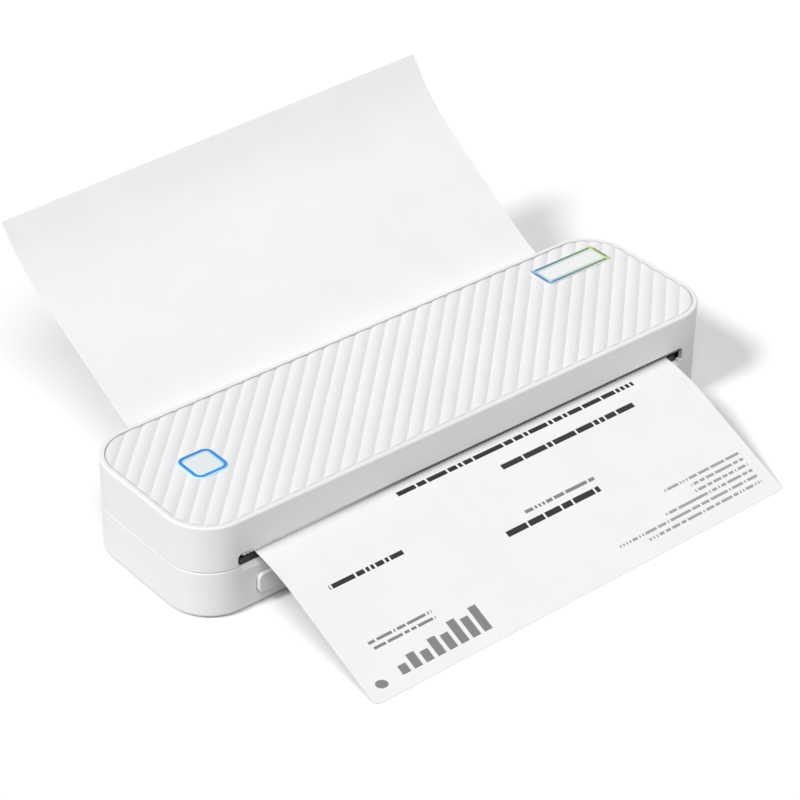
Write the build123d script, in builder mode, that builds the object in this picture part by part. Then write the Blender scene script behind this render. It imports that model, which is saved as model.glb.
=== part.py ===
from build123d import *
import os
from math import acos, atan2, cos, degrees, hypot, pi, radians, sin, tan

os.makedirs("parts", exist_ok=True)

# A portable thermal printer for A4 paper, in millimetres.
# X runs along the body, -Y is the front where the print comes out, +Z is up.
# The origin is on the desk, under the centre of the body.

# ---- driving dimensions: sheet and casing ----------------------------------------------
paper_width = 210.0
paper_thickness = 0.12
end_allowance = 26.5
body_width = 75.0
body_height = 42.0
corner_radius = 19.0
wall = 2.0
foot_proud = 0.8
bottom_round = 1.8
seam_height = 21.4
seam_gap = 0.3
seam_edge = 0.25
seat_gap = 0.1
part_gap = 0.3

half_paper = paper_width / 2
body_length = paper_width + 2 * end_allowance
half_length = body_length / 2
half_width = body_width / 2
inner_length = body_length - 2 * wall
inner_width = body_width - 2 * wall
inner_radius = corner_radius - wall
inner_front = wall - half_width
inner_rear = half_width - wall
floor_top = foot_proud + wall
cover_bottom = seam_height + seam_gap

# ---- driving dimensions: top of the cover ---------------------------------------------
rim_width = 2.0
rim_round = 0.7
panel_depth = 2.0
plate_thickness = 1.6
panel_gap = 0.12
panel_base = 1.15
rib_pitch_x = 8.0
rib_angle = 44.2
rib_crossing_x = 4.0
rib_step = 0.4
rib_height = 0.65
rib_crest_share = 0.3

panel_seat = body_height - panel_depth
plate_underside = panel_seat - plate_thickness

badge_length = 35.0
badge_width = 12.8
badge_thickness = 0.95
badge_radius = 1.0
badge_end_inset = 27.7
badge_rear_inset = 16.5
badge_x = half_length - badge_end_inset
badge_y = half_width - badge_rear_inset

button_end_inset = 30.5
button_y = 0.5
button_x = button_end_inset - half_length
ring_size = 15.6
ring_radius = 3.8
ring_width = 1.9
ring_proud = 0.05
ring_flange = 0.6
ring_flange_thickness = 0.8
button_gap = 0.15
button_travel = 0.6
button_flange = 0.7
button_flange_thickness = 0.9
button_stem_radius = 1.6
button_stem_length = 0.6

# ---- driving dimensions: paper and its path -------------------------------------------
nip_inset = 11.5
nip_z = 25.3
nip_gap = 0.1
feed_slope = 0.0
exit_slope = 0.391
exit_reach = 71.1
exit_bend_radius = 80.0
inlet_z = 34.0
inlet_slope = 0.40
inlet_bend_radius = 60.0
rise_reach = 24.5
rise_z = 46.0
rise_slope = 0.59
rise_bend_radius = 130.0
curl_reach = 85.5
curl_z = 88.0
curl_slope = 1.2
curl_bend_radius = 70.0
curl_end_reach = 89.5

nip_y = nip_inset - half_width
exit_end_y = -half_width - exit_reach
rise_point = (half_width + rise_reach, rise_z)
curl_point = (half_width + curl_reach, curl_z)
curl_end_y = half_width + curl_end_reach

# ---- driving dimensions: paper slots --------------------------------------------------
slot_overhang = 8.3
slot_top = 27.2
slot_end_round = 2.0
lip_overhang = 6.6
lip_drop = 0.9
lip_bevel = 1.5
rear_wall_top = 32.5
rear_lip_bottom = 36.4

slot_half_length = half_paper + slot_overhang
lip_half_length = half_paper + lip_overhang

# ---- driving dimensions: hinge --------------------------------------------------------
hinge_inset = 2.5
hinge_drop = 4.8
hinge_radius = 2.2
hinge_pin_radius = 1.0
running_gap = 0.05
fixed_gap = 0.01
ear_overhang = 14.5
ear_length = 9.3
lug_side_gap = 0.6
lug_length = 3.4
split_gap = 0.4

hinge_y = half_width - hinge_inset
hinge_z = body_height - hinge_drop
rear_wall_half = half_paper + ear_overhang
ear_inner = rear_wall_half - ear_length
lug_outer = ear_inner - lug_side_gap
lug_inner = lug_outer - lug_length

# ---- driving dimensions: platen and gears ---------------------------------------------
platen_radius = 6.0
platen_overhang = 1.5
shaft_radius = 2.5
shaft_overhang = 7.6
carrier_plate_overhang = 3.3
carrier_plate_thickness = 2.5
bushing_radius = 4.0
bushing_flange = 0.8
bushing_flange_radius = 4.8
gear_module = 0.5
gear_addendum = 0.85
gear_dedendum = 1.2
gear_backlash = 0.12
gear_centre_gap = 0.05
platen_teeth = 24
small_teeth = 14
large_teeth = 34
pinion_teeth = 12
platen_gear_width = 3.0
large_gear_width = 2.3
gear_side_gap = 0.4
axle_radius = 1.0
motor_radius = 9.0
motor_length = 18.0
motor_axis_z = 12.2
motor_boss_radius = 3.5
motor_shaft_radius = 1.0
bracket_overhang = 4.4
bracket_thickness = 1.5
bracket_foot = 7.0
bracket_foot_thickness = 1.2
bracket_margin = 2.0
bracket_rise = 3.0
bracket_nose = 4.5
bracket_screw_inset = 3.5

platen_y = nip_y
platen_z = nip_z + paper_thickness / 2 + nip_gap + platen_radius
platen_half_length = half_paper + platen_overhang
shaft_right_end = half_paper + shaft_overhang
carrier_plate_inner = half_paper + carrier_plate_overhang
carrier_plate_outer = carrier_plate_inner + carrier_plate_thickness
bracket_inner = half_paper + bracket_overhang
bracket_outer = bracket_inner + bracket_thickness

# ---- driving dimensions: print head ---------------------------------------------------
head_overhang = 2.0
ceramic_lead = 5.0
ceramic_depth = 11.0
ceramic_thickness = 0.95
glaze_half_width = 0.9
glaze_rise = 0.14
sink_lead = 8.0
sink_cradle_gap = 1.85
sink_thickness = 2.5
pivot_inset = 1.4
pivot_radius = 0.8
head_spring_radius = 2.5
head_spring_bore = 1.9
head_spring_lag = 2.0
head_spring_xs = (-60.0, -20.0, 20.0, 60.0)
spring_post_top = 10.0
spring_post_radius = 3.2

head_half_length = half_paper + head_overhang
ceramic_front_y = nip_y - ceramic_lead
ceramic_rear_y = ceramic_front_y + ceramic_depth
sink_front_y = nip_y - sink_lead
head_spring_y = nip_y + head_spring_lag
ceramic_top = nip_z - paper_thickness / 2 - nip_gap - glaze_rise
sink_top = ceramic_top - ceramic_thickness
sink_bottom = sink_top - sink_thickness
pivot_z = (sink_top + sink_bottom) / 2

# ---- driving dimensions: paper guides -------------------------------------------------
guide_gap = 0.6
guide_thickness = 1.5
lower_guide_overhang = 2.0
lower_guide_gap = 0.6
upper_guide_overhang = 0.8
upper_guide_rear_inset = 5.0
upper_guide_gap = 1.2
carrier_web_lag = 8.5
carrier_web_thickness = 1.5
carrier_lead = 7.5
carrier_bottom = 26.6
carrier_flange_lag = 17.8
flange_button_gap = 10.2
carrier_post_xs = (-75.0, -25.0, 25.0, 75.0)
carrier_post_inset = 17.5
carrier_post_radius = 3.0
flange_screw_xs = (-80.0, -40.0, 0.0, 40.0, 80.0)
flange_screw_lag = 14.3
exit_guide_overhang = 6.2
exit_guide_bottom = 17.0
exit_guide_top = 23.2
exit_guide_thickness = 1.0
bar_overhang = 6.0
bar_front_inset = 0.5
bar_leg_height = 5.0
bar_thickness = 1.0
bar_bottom = 25.45
bar_lip_height = 1.2
bar_tooth_pitch = 1.5
bar_tooth_depth = 0.5

lower_guide_half_length = half_paper + lower_guide_overhang
upper_guide_half_length = half_paper + upper_guide_overhang
exit_guide_half_length = half_paper + exit_guide_overhang
bar_half_length = half_paper + bar_overhang
upper_guide_rear_y = half_width - upper_guide_rear_inset
carrier_web_y = nip_y + carrier_web_lag
carrier_front_y = nip_y - carrier_lead
carrier_flange_rear_y = nip_y + carrier_flange_lag
carrier_post_y = half_width - carrier_post_inset
flange_screw_y = nip_y + flange_screw_lag
bar_front_y = bar_front_inset - half_width

# ---- driving dimensions: release button and latch -------------------------------------
release_end_inset = 26.5
release_length = 35.0
release_bottom = 5.9
release_height = 9.0
release_radius = 2.5
release_proud = 1.5
release_travel = 1.4
release_edge_round = 0.7
release_flange = 1.2
release_flange_thickness = 1.0
release_rib_width = 4.0
release_rib_inset = 5.0
latch_wall_gap = 3.9
latch_thickness = 1.2
latch_bottom = 6.5
latch_height = 5.0
latch_overhang = 17.4
latch_arm_width = 3.0
latch_arm_lag = 5.6
latch_arm_top = 21.0
latch_nose = 1.2
latch_nose_height = 2.0
catch_thickness = 1.5
catch_ledge = 0.4
catch_ledge_height = 1.5
catch_side_gap = 0.2
latch_spring_xs = (-50.0, 50.0)
latch_spring_radius = 2.0
latch_spring_bore = 1.5
latch_spring_length = 8.0
latch_post_thickness = 2.0
latch_post_width = 8.0
latch_pad_length = 4.0
latch_pad_gap = 0.2

release_left_x = release_end_inset - half_length
latch_half_length = half_paper + latch_overhang
latch_front_y = inner_front + latch_wall_gap
latch_arm_y = latch_front_y + latch_arm_lag

# ---- driving dimensions: power and electronics ----------------------------------------
cell_radius = 9.15
cell_length = 65.0
cell_gap = 1.6
cell_nub_radius = 3.0
cell_nub_height = 0.8
battery_y = -2.5
cradle_floor = 0.8
cradle_wall = 1.4
cradle_height = 8.4
cradle_end = 1.5
board_thickness = 1.2
board_left_x = -72.0
board_right_x = 76.0
board_cradle_gap = 1.35
board_rear_inset = 2.0
tongue_end_inset = 6.9
tongue_rear_inset = 13.5
tongue_depth = 14.0
board_boss_height = 3.2
board_boss_radius = 2.6
board_boss_inset = 5.0
tongue_boss_inset = (12.0, 4.0)
usb_width = 8.94
usb_height = 3.26
usb_length = 7.3
usb_wall = 0.3
usb_tongue = 0.7
usb_hole_gap = 0.25
cable_width = 14.0
cable_edge_inset = 14.0
cable_socket_depth = 4.7
cable_thickness = 0.3
cable_bend = 2.0
cable_reach = 2.7
cable_rise = 2.0
button_board_size = (28.0, 16.0)
button_board_drop = 5.4
button_boss_spacing = 22.0
button_boss_radius = 2.4
switch_size = 6.0
switch_plunger_radius = 1.5
switch_plunger_height = 0.6
switch_gap = 0.1
cover_switch_length = 8.0
cover_switch_width = 5.8
cover_switch_inset = 6.0
cover_switch_plunger = 2.0

tongue_right_x = half_length - tongue_end_inset
cable_left_x = half_paper - cable_edge_inset
cradle_half_width = cell_radius + seat_gap + cradle_wall
sink_rear_y = battery_y - cradle_half_width - sink_cradle_gap
pivot_y = sink_rear_y - pivot_inset
lower_guide_front_y = sink_rear_y + lower_guide_gap
board_front_y = battery_y + cradle_half_width + board_cradle_gap
board_rear_y = inner_rear - board_rear_inset
tongue_rear_y = board_rear_y - tongue_rear_inset
tongue_front_y = tongue_rear_y - tongue_depth
usb_y = (tongue_front_y + tongue_rear_y) / 2

# ---- driving dimensions: feet, label and screws ---------------------------------------
foot_radius = 6.0
foot_recess = 0.6
foot_edge = 0.3
foot_end_inset = 25.5
foot_side_inset = 12.5
label_length = 70.0
label_width = 30.0
label_radius = 2.0
label_thickness = 0.2
screw_radius = 1.3
screw_head_radius = 2.5
screw_head_height = 1.5
screw_head_recess = 0.5
small_screw_radius = 1.0
small_screw_head_radius = 1.9
small_screw_head_height = 0.9
drive_radius = 0.8
drive_depth = 0.6
post_edge_inset = 21.0
post_front_lag = 18.0
post_rear_inset = 7.5
post_radius = 3.5
post_seat = 6.8

foot_x = half_length - foot_end_inset
foot_y = half_width - foot_side_inset
post_x = half_paper - post_edge_inset
post_front_y = nip_y + post_front_lag
post_rear_y = half_width - post_rear_inset


# ---- the paper's path -----------------------------------------------------------------
def crossing(point_a, slope_a, point_b, slope_b):
    """The point where two sloping lines in the YZ plane meet."""
    rise = point_b[1] - point_a[1] + slope_a * point_a[0] - slope_b * point_b[0]
    y = rise / (slope_a - slope_b)
    return (y, point_a[1] + slope_a * (y - point_a[0]))


def on_line(point, slope, y):
    """The point at y on a sloping line in the YZ plane."""
    return (y, point[1] + slope * (y - point[0]))


exit_end = (exit_end_y, paper_thickness)
nip_point = (nip_y, nip_z)
inlet_point = (half_width, inlet_z)
exit_corner = crossing(exit_end, exit_slope, nip_point, feed_slope)
inlet_corner = crossing(nip_point, feed_slope, inlet_point, inlet_slope)
rise_corner = crossing(inlet_point, inlet_slope, rise_point, rise_slope)
curl_corner = crossing(rise_point, rise_slope, curl_point, curl_slope)
curl_end = on_line(curl_point, curl_slope, curl_end_y)


def lifted(points, lift):
    """The same points of the YZ plane, raised by lift."""
    return [(y, z + lift) for y, z in points]


def box_between(x_range, y_range, z_range, mode=Mode.ADD):
    """A plain block given by its limits along X, Y and Z."""
    with Locations((x_range[0], y_range[0], z_range[0])):
        Box(
            x_range[1] - x_range[0],
            y_range[1] - y_range[0],
            z_range[1] - z_range[0],
            align=(Align.MIN, Align.MIN, Align.MIN),
            mode=mode,
        )


def across(y, z, x=0.0):
    """A plane square to X, with its origin at (x, y, z), its x along +Y and its y along +Z."""
    return Plane(origin=(x, y, z), x_dir=(0, 1, 0), z_dir=(1, 0, 0))


def save(builder, name):
    """Label a finished piece and write it to its STEP file."""
    builder.part.label = name
    export_step(builder.part, f"parts/{name}.step")


# ---- gears ----------------------------------------------------------------------------
def pitch_radius(teeth):
    return gear_module * teeth / 2


def tip_radius(teeth):
    return pitch_radius(teeth) + gear_addendum * gear_module


def involute(angle):
    return tan(angle) - angle


def tooth_half_width(teeth, radius):
    """Half the width of a 20 degree involute tooth at a radius, less the backlash."""
    pressure = radians(20)
    base = pitch_radius(teeth) * cos(pressure)
    at_radius = acos(min(1.0, base / radius))
    half_angle = pi / (2 * teeth) + involute(pressure) - involute(at_radius)
    return radius * half_angle - gear_backlash / 2


def spur_gear(teeth, phase):
    """A flat spur gear about the sketch's origin, with a tooth centred at phase degrees."""
    root = pitch_radius(teeth) - gear_dedendum * gear_module
    tip = tip_radius(teeth)
    middle = (root + 2 * tip) / 3
    radii = (root - gear_module / 4, pitch_radius(teeth), middle, tip)
    right_side = [(r, -tooth_half_width(teeth, max(r, root))) for r in radii]
    left_side = [(r, -w) for r, w in reversed(right_side)]
    Circle(root)
    with PolarLocations(0, teeth, start_angle=phase):
        Polygon(*right_side, *left_side, align=None)


# The cover lifts the platen gear straight away from the gear under it.
lever_y = platen_y - hinge_y
lever_z = platen_z - hinge_z
lever = hypot(lever_y, lever_z)
small_distance = pitch_radius(platen_teeth) + pitch_radius(small_teeth) + gear_centre_gap
compound_y = platen_y - small_distance * lever_z / lever
compound_z = platen_z + small_distance * lever_y / lever
large_distance = pitch_radius(large_teeth) + pitch_radius(pinion_teeth) + gear_centre_gap
motor_drop = compound_z - motor_axis_z
motor_y = compound_y + (large_distance**2 - motor_drop**2) ** 0.5
platen_to_compound = degrees(atan2(compound_z - platen_z, compound_y - platen_y))
compound_to_motor = degrees(atan2(motor_axis_z - compound_z, motor_y - compound_y))

platen_gear_right = -carrier_plate_outer - bushing_flange - gear_side_gap
platen_gear_left = platen_gear_right - platen_gear_width
large_gear_right = platen_gear_left - 2 * gear_side_gap
large_gear_left = large_gear_right - large_gear_width
shaft_left_end = platen_gear_left - gear_side_gap / 2
print("compound gear centre", round(compound_y, 3), round(compound_z, 3))
print("motor centre", round(motor_y, 3), round(motor_axis_z, 3))


# ======================================================================================
# Base: casing and what is fixed in it
# ======================================================================================
screw_posts = [
    (side * post_x, y) for side in (-1, 1) for y in (post_front_y, post_rear_y)
]
foot_places = [(sx * foot_x, sy * foot_y) for sx in (-1, 1) for sy in (-1, 1)]
board_z = floor_top + board_boss_height
board_top = board_z + board_thickness
usb_z = board_top + usb_height / 2
board_bosses = [
    (board_left_x + board_boss_inset, board_front_y + board_boss_inset),
    (board_left_x + board_boss_inset, board_rear_y - board_boss_inset),
    (board_right_x - board_boss_inset, board_rear_y - board_boss_inset),
    (tongue_right_x - tongue_boss_inset[0], tongue_rear_y - tongue_boss_inset[1]),
]
release_x = release_left_x + release_length / 2
release_z = release_bottom + release_height / 2
latch_rear_y = latch_front_y + latch_thickness
latch_post_y = latch_rear_y + latch_spring_length
latch_spring_z = latch_bottom + latch_height / 2

# The lower casing: a tray with a raised rear wall that carries the hinge ears.
with BuildPart() as base_shell:
    with BuildSketch(Plane.XY.offset(foot_proud)):
        RectangleRounded(body_length, body_width, corner_radius)
    extrude(amount=seam_height - foot_proud)
    chamfer(base_shell.faces().sort_by(Axis.Z)[-1].edges(), length=seam_edge)
    with BuildSketch(Plane.XY.offset(seam_height - seam_edge)):
        RectangleRounded(body_length, body_width, corner_radius)
        RectangleRounded(inner_length, inner_width, inner_radius, mode=Mode.SUBTRACT)
        with Locations((0, half_width)):
            Rectangle(2 * rear_wall_half, 2 * corner_radius, mode=Mode.INTERSECT)
    extrude(amount=rear_wall_top - seam_height + seam_edge)
    with BuildSketch(Plane.XY.offset(floor_top)):
        RectangleRounded(inner_length, inner_width, inner_radius)
    extrude(amount=seam_height - floor_top, mode=Mode.SUBTRACT)
    # hinge ears at the two ends of the rear wall
    for side in (-1, 1):
        with BuildSketch(across(hinge_y, hinge_z, side * ear_inner)):
            Circle(hinge_radius)
            with Locations((0, 0)):
                Rectangle(
                    2 * hinge_radius,
                    hinge_z - seam_height,
                    align=(Align.CENTER, Align.MAX),
                )
        extrude(amount=side * (rear_wall_half - ear_inner))
    with BuildSketch(Plane.XY.offset(foot_proud)):
        RectangleRounded(body_length, body_width, corner_radius)
    extrude(amount=body_height, mode=Mode.INTERSECT)
    fillet(base_shell.faces().sort_by(Axis.Z)[0].edges(), radius=bottom_round)
    # bores for the hinge pins
    with BuildSketch(across(hinge_y, hinge_z)):
        Circle(hinge_pin_radius + fixed_gap)
    extrude(amount=rear_wall_half - wall / 2, both=True, mode=Mode.SUBTRACT)
    # the dropped and bevelled lip under the front slot
    with BuildSketch(Plane.YZ):
        with BuildLine():
            Polyline(
                (-half_width - 1, seam_height - lip_drop - lip_bevel - 1),
                (-half_width - 1, seam_height + 1),
                (inner_front + 0.01, seam_height + 1),
                (inner_front + 0.01, seam_height - lip_drop),
                (lip_bevel - half_width, seam_height - lip_drop),
                (-half_width, seam_height - lip_drop - lip_bevel),
                close=True,
            )
        make_face()
    extrude(amount=lip_half_length, both=True, mode=Mode.SUBTRACT)
    # window for the release button
    with BuildSketch(Plane.XZ.offset(-inner_front - 1)):
        with Locations((release_x, release_z)):
            RectangleRounded(
                release_length + 2 * part_gap,
                release_height + 2 * part_gap,
                release_radius + part_gap,
            )
    extrude(amount=wall + 2, mode=Mode.SUBTRACT)
    # socket hole in the right-hand end
    with BuildSketch(across(usb_y, usb_z, half_length - wall - 1)):
        RectangleRounded(
            usb_width + 2 * usb_hole_gap,
            usb_height + 2 * usb_hole_gap,
            (usb_height + 2 * usb_hole_gap) / 2 - 0.01,
        )
    extrude(amount=wall + 2, mode=Mode.SUBTRACT)
    # bosses for the case screws, the board and the springs
    with BuildSketch(Plane.XY.offset(floor_top)):
        with Locations(*screw_posts):
            Circle(post_radius)
    extrude(amount=post_seat - floor_top)
    with BuildSketch(Plane.XY.offset(floor_top)):
        with Locations(*board_bosses):
            Circle(board_boss_radius)
    extrude(amount=board_boss_height)
    with BuildSketch(Plane.XY.offset(floor_top)):
        with Locations(*[(x, head_spring_y) for x in head_spring_xs]):
            Circle(spring_post_radius)
    extrude(amount=spring_post_top - floor_top)
    for x in latch_spring_xs:
        box_between(
            (x - latch_post_width / 2, x + latch_post_width / 2),
            (latch_post_y, latch_post_y + latch_post_thickness),
            (floor_top, latch_bottom + latch_height),
        )
        box_between(
            (x - latch_pad_length / 2, x + latch_pad_length / 2),
            (latch_front_y - 1, latch_rear_y + release_travel + 1),
            (floor_top, latch_bottom - latch_pad_gap),
        )
    # screw holes, foot recesses and the label's recess in the underside
    with Locations(*[(x, y, foot_proud) for x, y in screw_posts]):
        Cylinder(
            screw_head_radius + seat_gap,
            screw_head_height + screw_head_recess,
            align=(Align.CENTER, Align.CENTER, Align.MIN),
            mode=Mode.SUBTRACT,
        )
        Cylinder(
            screw_radius + seat_gap,
            post_seat,
            align=(Align.CENTER, Align.CENTER, Align.MIN),
            mode=Mode.SUBTRACT,
        )
    with BuildSketch(Plane.XY.offset(foot_proud)):
        with Locations(*foot_places):
            Circle(foot_radius + seat_gap)
    extrude(amount=foot_recess, mode=Mode.SUBTRACT)
    with BuildSketch(Plane.XY.offset(foot_proud)):
        RectangleRounded(
            label_length + 2 * seat_gap, label_width + 2 * seat_gap, label_radius + seat_gap
        )
    extrude(amount=label_thickness, mode=Mode.SUBTRACT)
save(base_shell, "base_shell")

# Four rubber feet, glued into shallow recesses.
with BuildPart() as rubber_feet:
    with BuildSketch():
        with Locations(*foot_places):
            Circle(foot_radius)
    extrude(amount=foot_proud + foot_recess)
    chamfer(rubber_feet.faces().filter_by(Axis.Z).group_by(Axis.Z)[0].edges(), length=foot_edge)
save(rubber_feet, "rubber_feet")

# A blank rating plate under the body.
with BuildPart() as bottom_label:
    with BuildSketch(Plane.XY.offset(foot_proud)):
        RectangleRounded(label_length, label_width, label_radius)
    extrude(amount=label_thickness)
save(bottom_label, "bottom_label")

# Hinge pins, pressed into the ears of the base.
with BuildPart() as hinge_pins:
    for side in (-1, 1):
        with BuildSketch(across(hinge_y, hinge_z, side * lug_inner)):
            Circle(hinge_pin_radius)
        extrude(amount=side * (rear_wall_half - wall - lug_inner))
save(hinge_pins, "hinge_pins")

# The lower paper guide and chassis: a plate under the paper's path, on four screw posts.
lower_lift = -(paper_thickness / 2 + guide_gap + guide_thickness / 2)
guide_rear_y = inner_rear - seat_gap - guide_thickness * inlet_slope / 2
guide_front = on_line(nip_point, feed_slope, lower_guide_front_y)
guide_rear = on_line(inlet_point, inlet_slope, guide_rear_y)
guide_curve = [guide_front, inlet_corner, guide_rear]
with BuildPart() as lower_guide:
    with BuildSketch(Plane.YZ):
        with BuildLine() as guide_line:
            FilletPolyline(*lifted(guide_curve, lower_lift), radius=inlet_bend_radius * 0.9)
        trace(guide_line.line, line_width=guide_thickness)
    extrude(amount=lower_guide_half_length, both=True)
    with BuildSketch(Plane.XY.offset(post_seat)):
        with Locations(*screw_posts):
            Circle(post_radius)
    extrude(until=Until.NEXT)
    with Locations(*[(x, y, post_seat) for x, y in screw_posts]):
        Cylinder(
            screw_radius,
            post_seat,
            align=(Align.CENTER, Align.CENTER, Align.MIN),
            mode=Mode.SUBTRACT,
        )
save(lower_guide, "lower_guide")

# Screws that hold the chassis to the lower casing, driven from below.
with BuildPart() as case_screws:
    screw_bottom = foot_proud + screw_head_recess
    with BuildSketch(Plane.XY.offset(screw_bottom)):
        with Locations(*screw_posts):
            Circle(screw_head_radius)
    extrude(amount=screw_head_height)
    with BuildSketch(Plane.XY.offset(screw_bottom + screw_head_height)):
        with Locations(*screw_posts):
            Circle(screw_radius - fixed_gap)
    extrude(amount=2 * post_seat - screw_bottom - screw_head_height - 1)
    with BuildSketch(Plane.XY.offset(screw_bottom)):
        with Locations(*screw_posts):
            RegularPolygon(drive_radius * 1.5, 6)
    extrude(amount=drive_depth, mode=Mode.SUBTRACT)
save(case_screws, "case_screws")

# The exit guide: a black strip behind the front wall, under the paper.
with BuildPart() as exit_guide:
    box_between(
        (-exit_guide_half_length, exit_guide_half_length),
        (inner_front + seat_gap, inner_front + seat_gap + exit_guide_thickness),
        (exit_guide_bottom, exit_guide_top),
    )
    fillet(exit_guide.edges().filter_by(Axis.X).group_by(Axis.Z)[-1], radius=0.45)
save(exit_guide, "exit_guide")

# The sheet of paper, held between the platen and the print head.
paper_curve = [exit_end, exit_corner, inlet_corner, rise_corner, curl_corner, curl_end]
paper_radii = [exit_bend_radius, inlet_bend_radius, rise_bend_radius, curl_bend_radius]
with BuildPart() as paper_sheet:
    with BuildSketch(Plane.YZ):
        with BuildLine() as paper_line:
            FilletPolyline(*paper_curve, radius=paper_radii)
        trace(paper_line.line, line_width=paper_thickness)
    extrude(amount=paper_width / 2, both=True)
print("paper length", round(paper_line.wire().length, 2))
save(paper_sheet, "paper_sheet")

# ======================================================================================
# Base: print head, drive and electronics
# ======================================================================================
# The heater line: a ceramic strip with a raised glaze under the platen.
with BuildPart() as head_ceramic:
    box_between(
        (-head_half_length, head_half_length),
        (ceramic_front_y, ceramic_rear_y),
        (sink_top, ceramic_top),
    )
    with BuildSketch(across(nip_y, ceramic_top)):
        with BuildLine():
            ThreePointArc((-glaze_half_width, 0), (0, glaze_rise), (glaze_half_width, 0))
            Line((-glaze_half_width, 0), (glaze_half_width, 0))
        make_face()
    extrude(amount=head_half_length, both=True)
save(head_ceramic, "head_ceramic")

# The aluminium heat sink that carries the ceramic.
with BuildPart() as head_heatsink:
    box_between(
        (-head_half_length, head_half_length),
        (sink_front_y, sink_rear_y),
        (sink_bottom, sink_top),
    )
    chamfer(head_heatsink.edges().filter_by(Axis.X).group_by(Axis.Y)[0], length=0.5)
    for side in (-1, 1):
        with BuildSketch(across(pivot_y, pivot_z, side * head_half_length)):
            Circle(pivot_radius + fixed_gap)
        extrude(amount=-side * bracket_foot, mode=Mode.SUBTRACT)
save(head_heatsink, "head_heatsink")

# Two stub pins on which the print head tips.
with BuildPart() as head_pivots:
    for side in (-1, 1):
        with BuildSketch(across(pivot_y, pivot_z, side * (head_half_length - bracket_foot))):
            Circle(pivot_radius)
        extrude(amount=side * (bracket_outer - part_gap - head_half_length + bracket_foot))
save(head_pivots, "head_pivots")

# Springs that press the head against the platen.
with BuildPart() as head_springs:
    with BuildSketch(Plane.XY.offset(spring_post_top)):
        with Locations(*[(x, head_spring_y) for x in head_spring_xs]):
            Circle(head_spring_radius)
            Circle(head_spring_bore, mode=Mode.SUBTRACT)
    extrude(amount=sink_bottom - spring_post_top)
save(head_springs, "head_springs")

# Flat cable from the head to its socket on the main board.
cable_top_z = sink_bottom - cable_thickness
cable_down_y = sink_rear_y + cable_reach
cable_low_z = board_top + cable_rise
cable_points = [
    (ceramic_rear_y, cable_top_z),
    (cable_down_y, cable_top_z),
    (cable_down_y, cable_low_z),
    (tongue_front_y + part_gap, cable_low_z),
]
with BuildPart() as head_cable:
    with BuildSketch(across(0, 0, cable_left_x)):
        with BuildLine() as cable_line:
            FilletPolyline(*cable_points, radius=cable_bend)
        trace(cable_line.line, line_width=cable_thickness)
    extrude(amount=cable_width)
save(head_cable, "head_cable")

# Side brackets: the left one carries the motor and the gears, both carry the head.
bracket_front_y = latch_rear_y + release_travel + 1.0
bracket_nose_y = nip_y - bracket_nose
bracket_shelf_z = latch_bottom + latch_height + 1.5
bracket_top = cover_bottom + bracket_rise
bracket_profile = [
    (bracket_front_y, floor_top),
    (bracket_front_y, bracket_shelf_z),
    (bracket_nose_y, bracket_shelf_z + bracket_margin),
    (bracket_nose_y, bracket_top),
    (pivot_y + 2 * bracket_margin, bracket_top),
    (motor_y + motor_radius + bracket_margin, motor_axis_z + 2 * bracket_margin),
    (motor_y + motor_radius + bracket_margin, floor_top),
]
foot_front_y = bracket_front_y + 1
foot_rear_y = motor_y + motor_radius
bracket_screw_x = bracket_outer + bracket_foot / 2
bracket_screw_ys = (foot_front_y + bracket_screw_inset, foot_rear_y - bracket_screw_inset)


def side_bracket(side):
    """A folded steel plate at one end: upright, foot, screw holes and the head's pivot hole."""
    with BuildSketch(across(0, 0, side * bracket_inner)) as upright:
        Polygon(*bracket_profile, align=None)
        with Locations((pivot_y, pivot_z)):
            Circle(pivot_radius + running_gap, mode=Mode.SUBTRACT)
    extrude(upright.sketch, amount=side * bracket_thickness)
    x_limits = sorted((side * bracket_outer, side * (bracket_outer + bracket_foot)))
    box_between(
        x_limits,
        (foot_front_y, foot_rear_y),
        (floor_top, floor_top + bracket_foot_thickness),
    )
    with BuildSketch(Plane.XY.offset(floor_top)) as holes:
        with Locations(*[(side * bracket_screw_x, y) for y in bracket_screw_ys]):
            Circle(small_screw_radius + seat_gap)
    extrude(holes.sketch, amount=bracket_foot_thickness, mode=Mode.SUBTRACT)


with BuildPart() as gear_bracket:
    side_bracket(-1)
    with BuildSketch(across(0, 0, -bracket_inner)):
        with Locations((motor_y, motor_axis_z)):
            Circle(motor_boss_radius + seat_gap)
        with Locations((compound_y, compound_z)):
            Circle(axle_radius + fixed_gap)
    extrude(amount=-bracket_thickness, mode=Mode.SUBTRACT)
save(gear_bracket, "gear_bracket")

with BuildPart() as head_bracket:
    side_bracket(1)
save(head_bracket, "head_bracket")

# Screws that hold the brackets to the floor.
bracket_screw_places = [
    (side * bracket_screw_x, y) for side in (-1, 1) for y in bracket_screw_ys
]
bracket_screw_top = floor_top + bracket_foot_thickness
with BuildPart() as bracket_screws:
    with BuildSketch(Plane.XY.offset(bracket_screw_top)):
        with Locations(*bracket_screw_places):
            Circle(small_screw_head_radius)
    extrude(amount=small_screw_head_height)
    with BuildSketch(Plane.XY.offset(floor_top)):
        with Locations(*bracket_screw_places):
            Circle(small_screw_radius)
    extrude(amount=bracket_foot_thickness)
    with BuildSketch(Plane.XY.offset(bracket_screw_top + small_screw_head_height)):
        with Locations(*bracket_screw_places):
            RegularPolygon(drive_radius, 6)
    extrude(amount=-drive_depth, mode=Mode.SUBTRACT)
save(bracket_screws, "bracket_screws")

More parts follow.
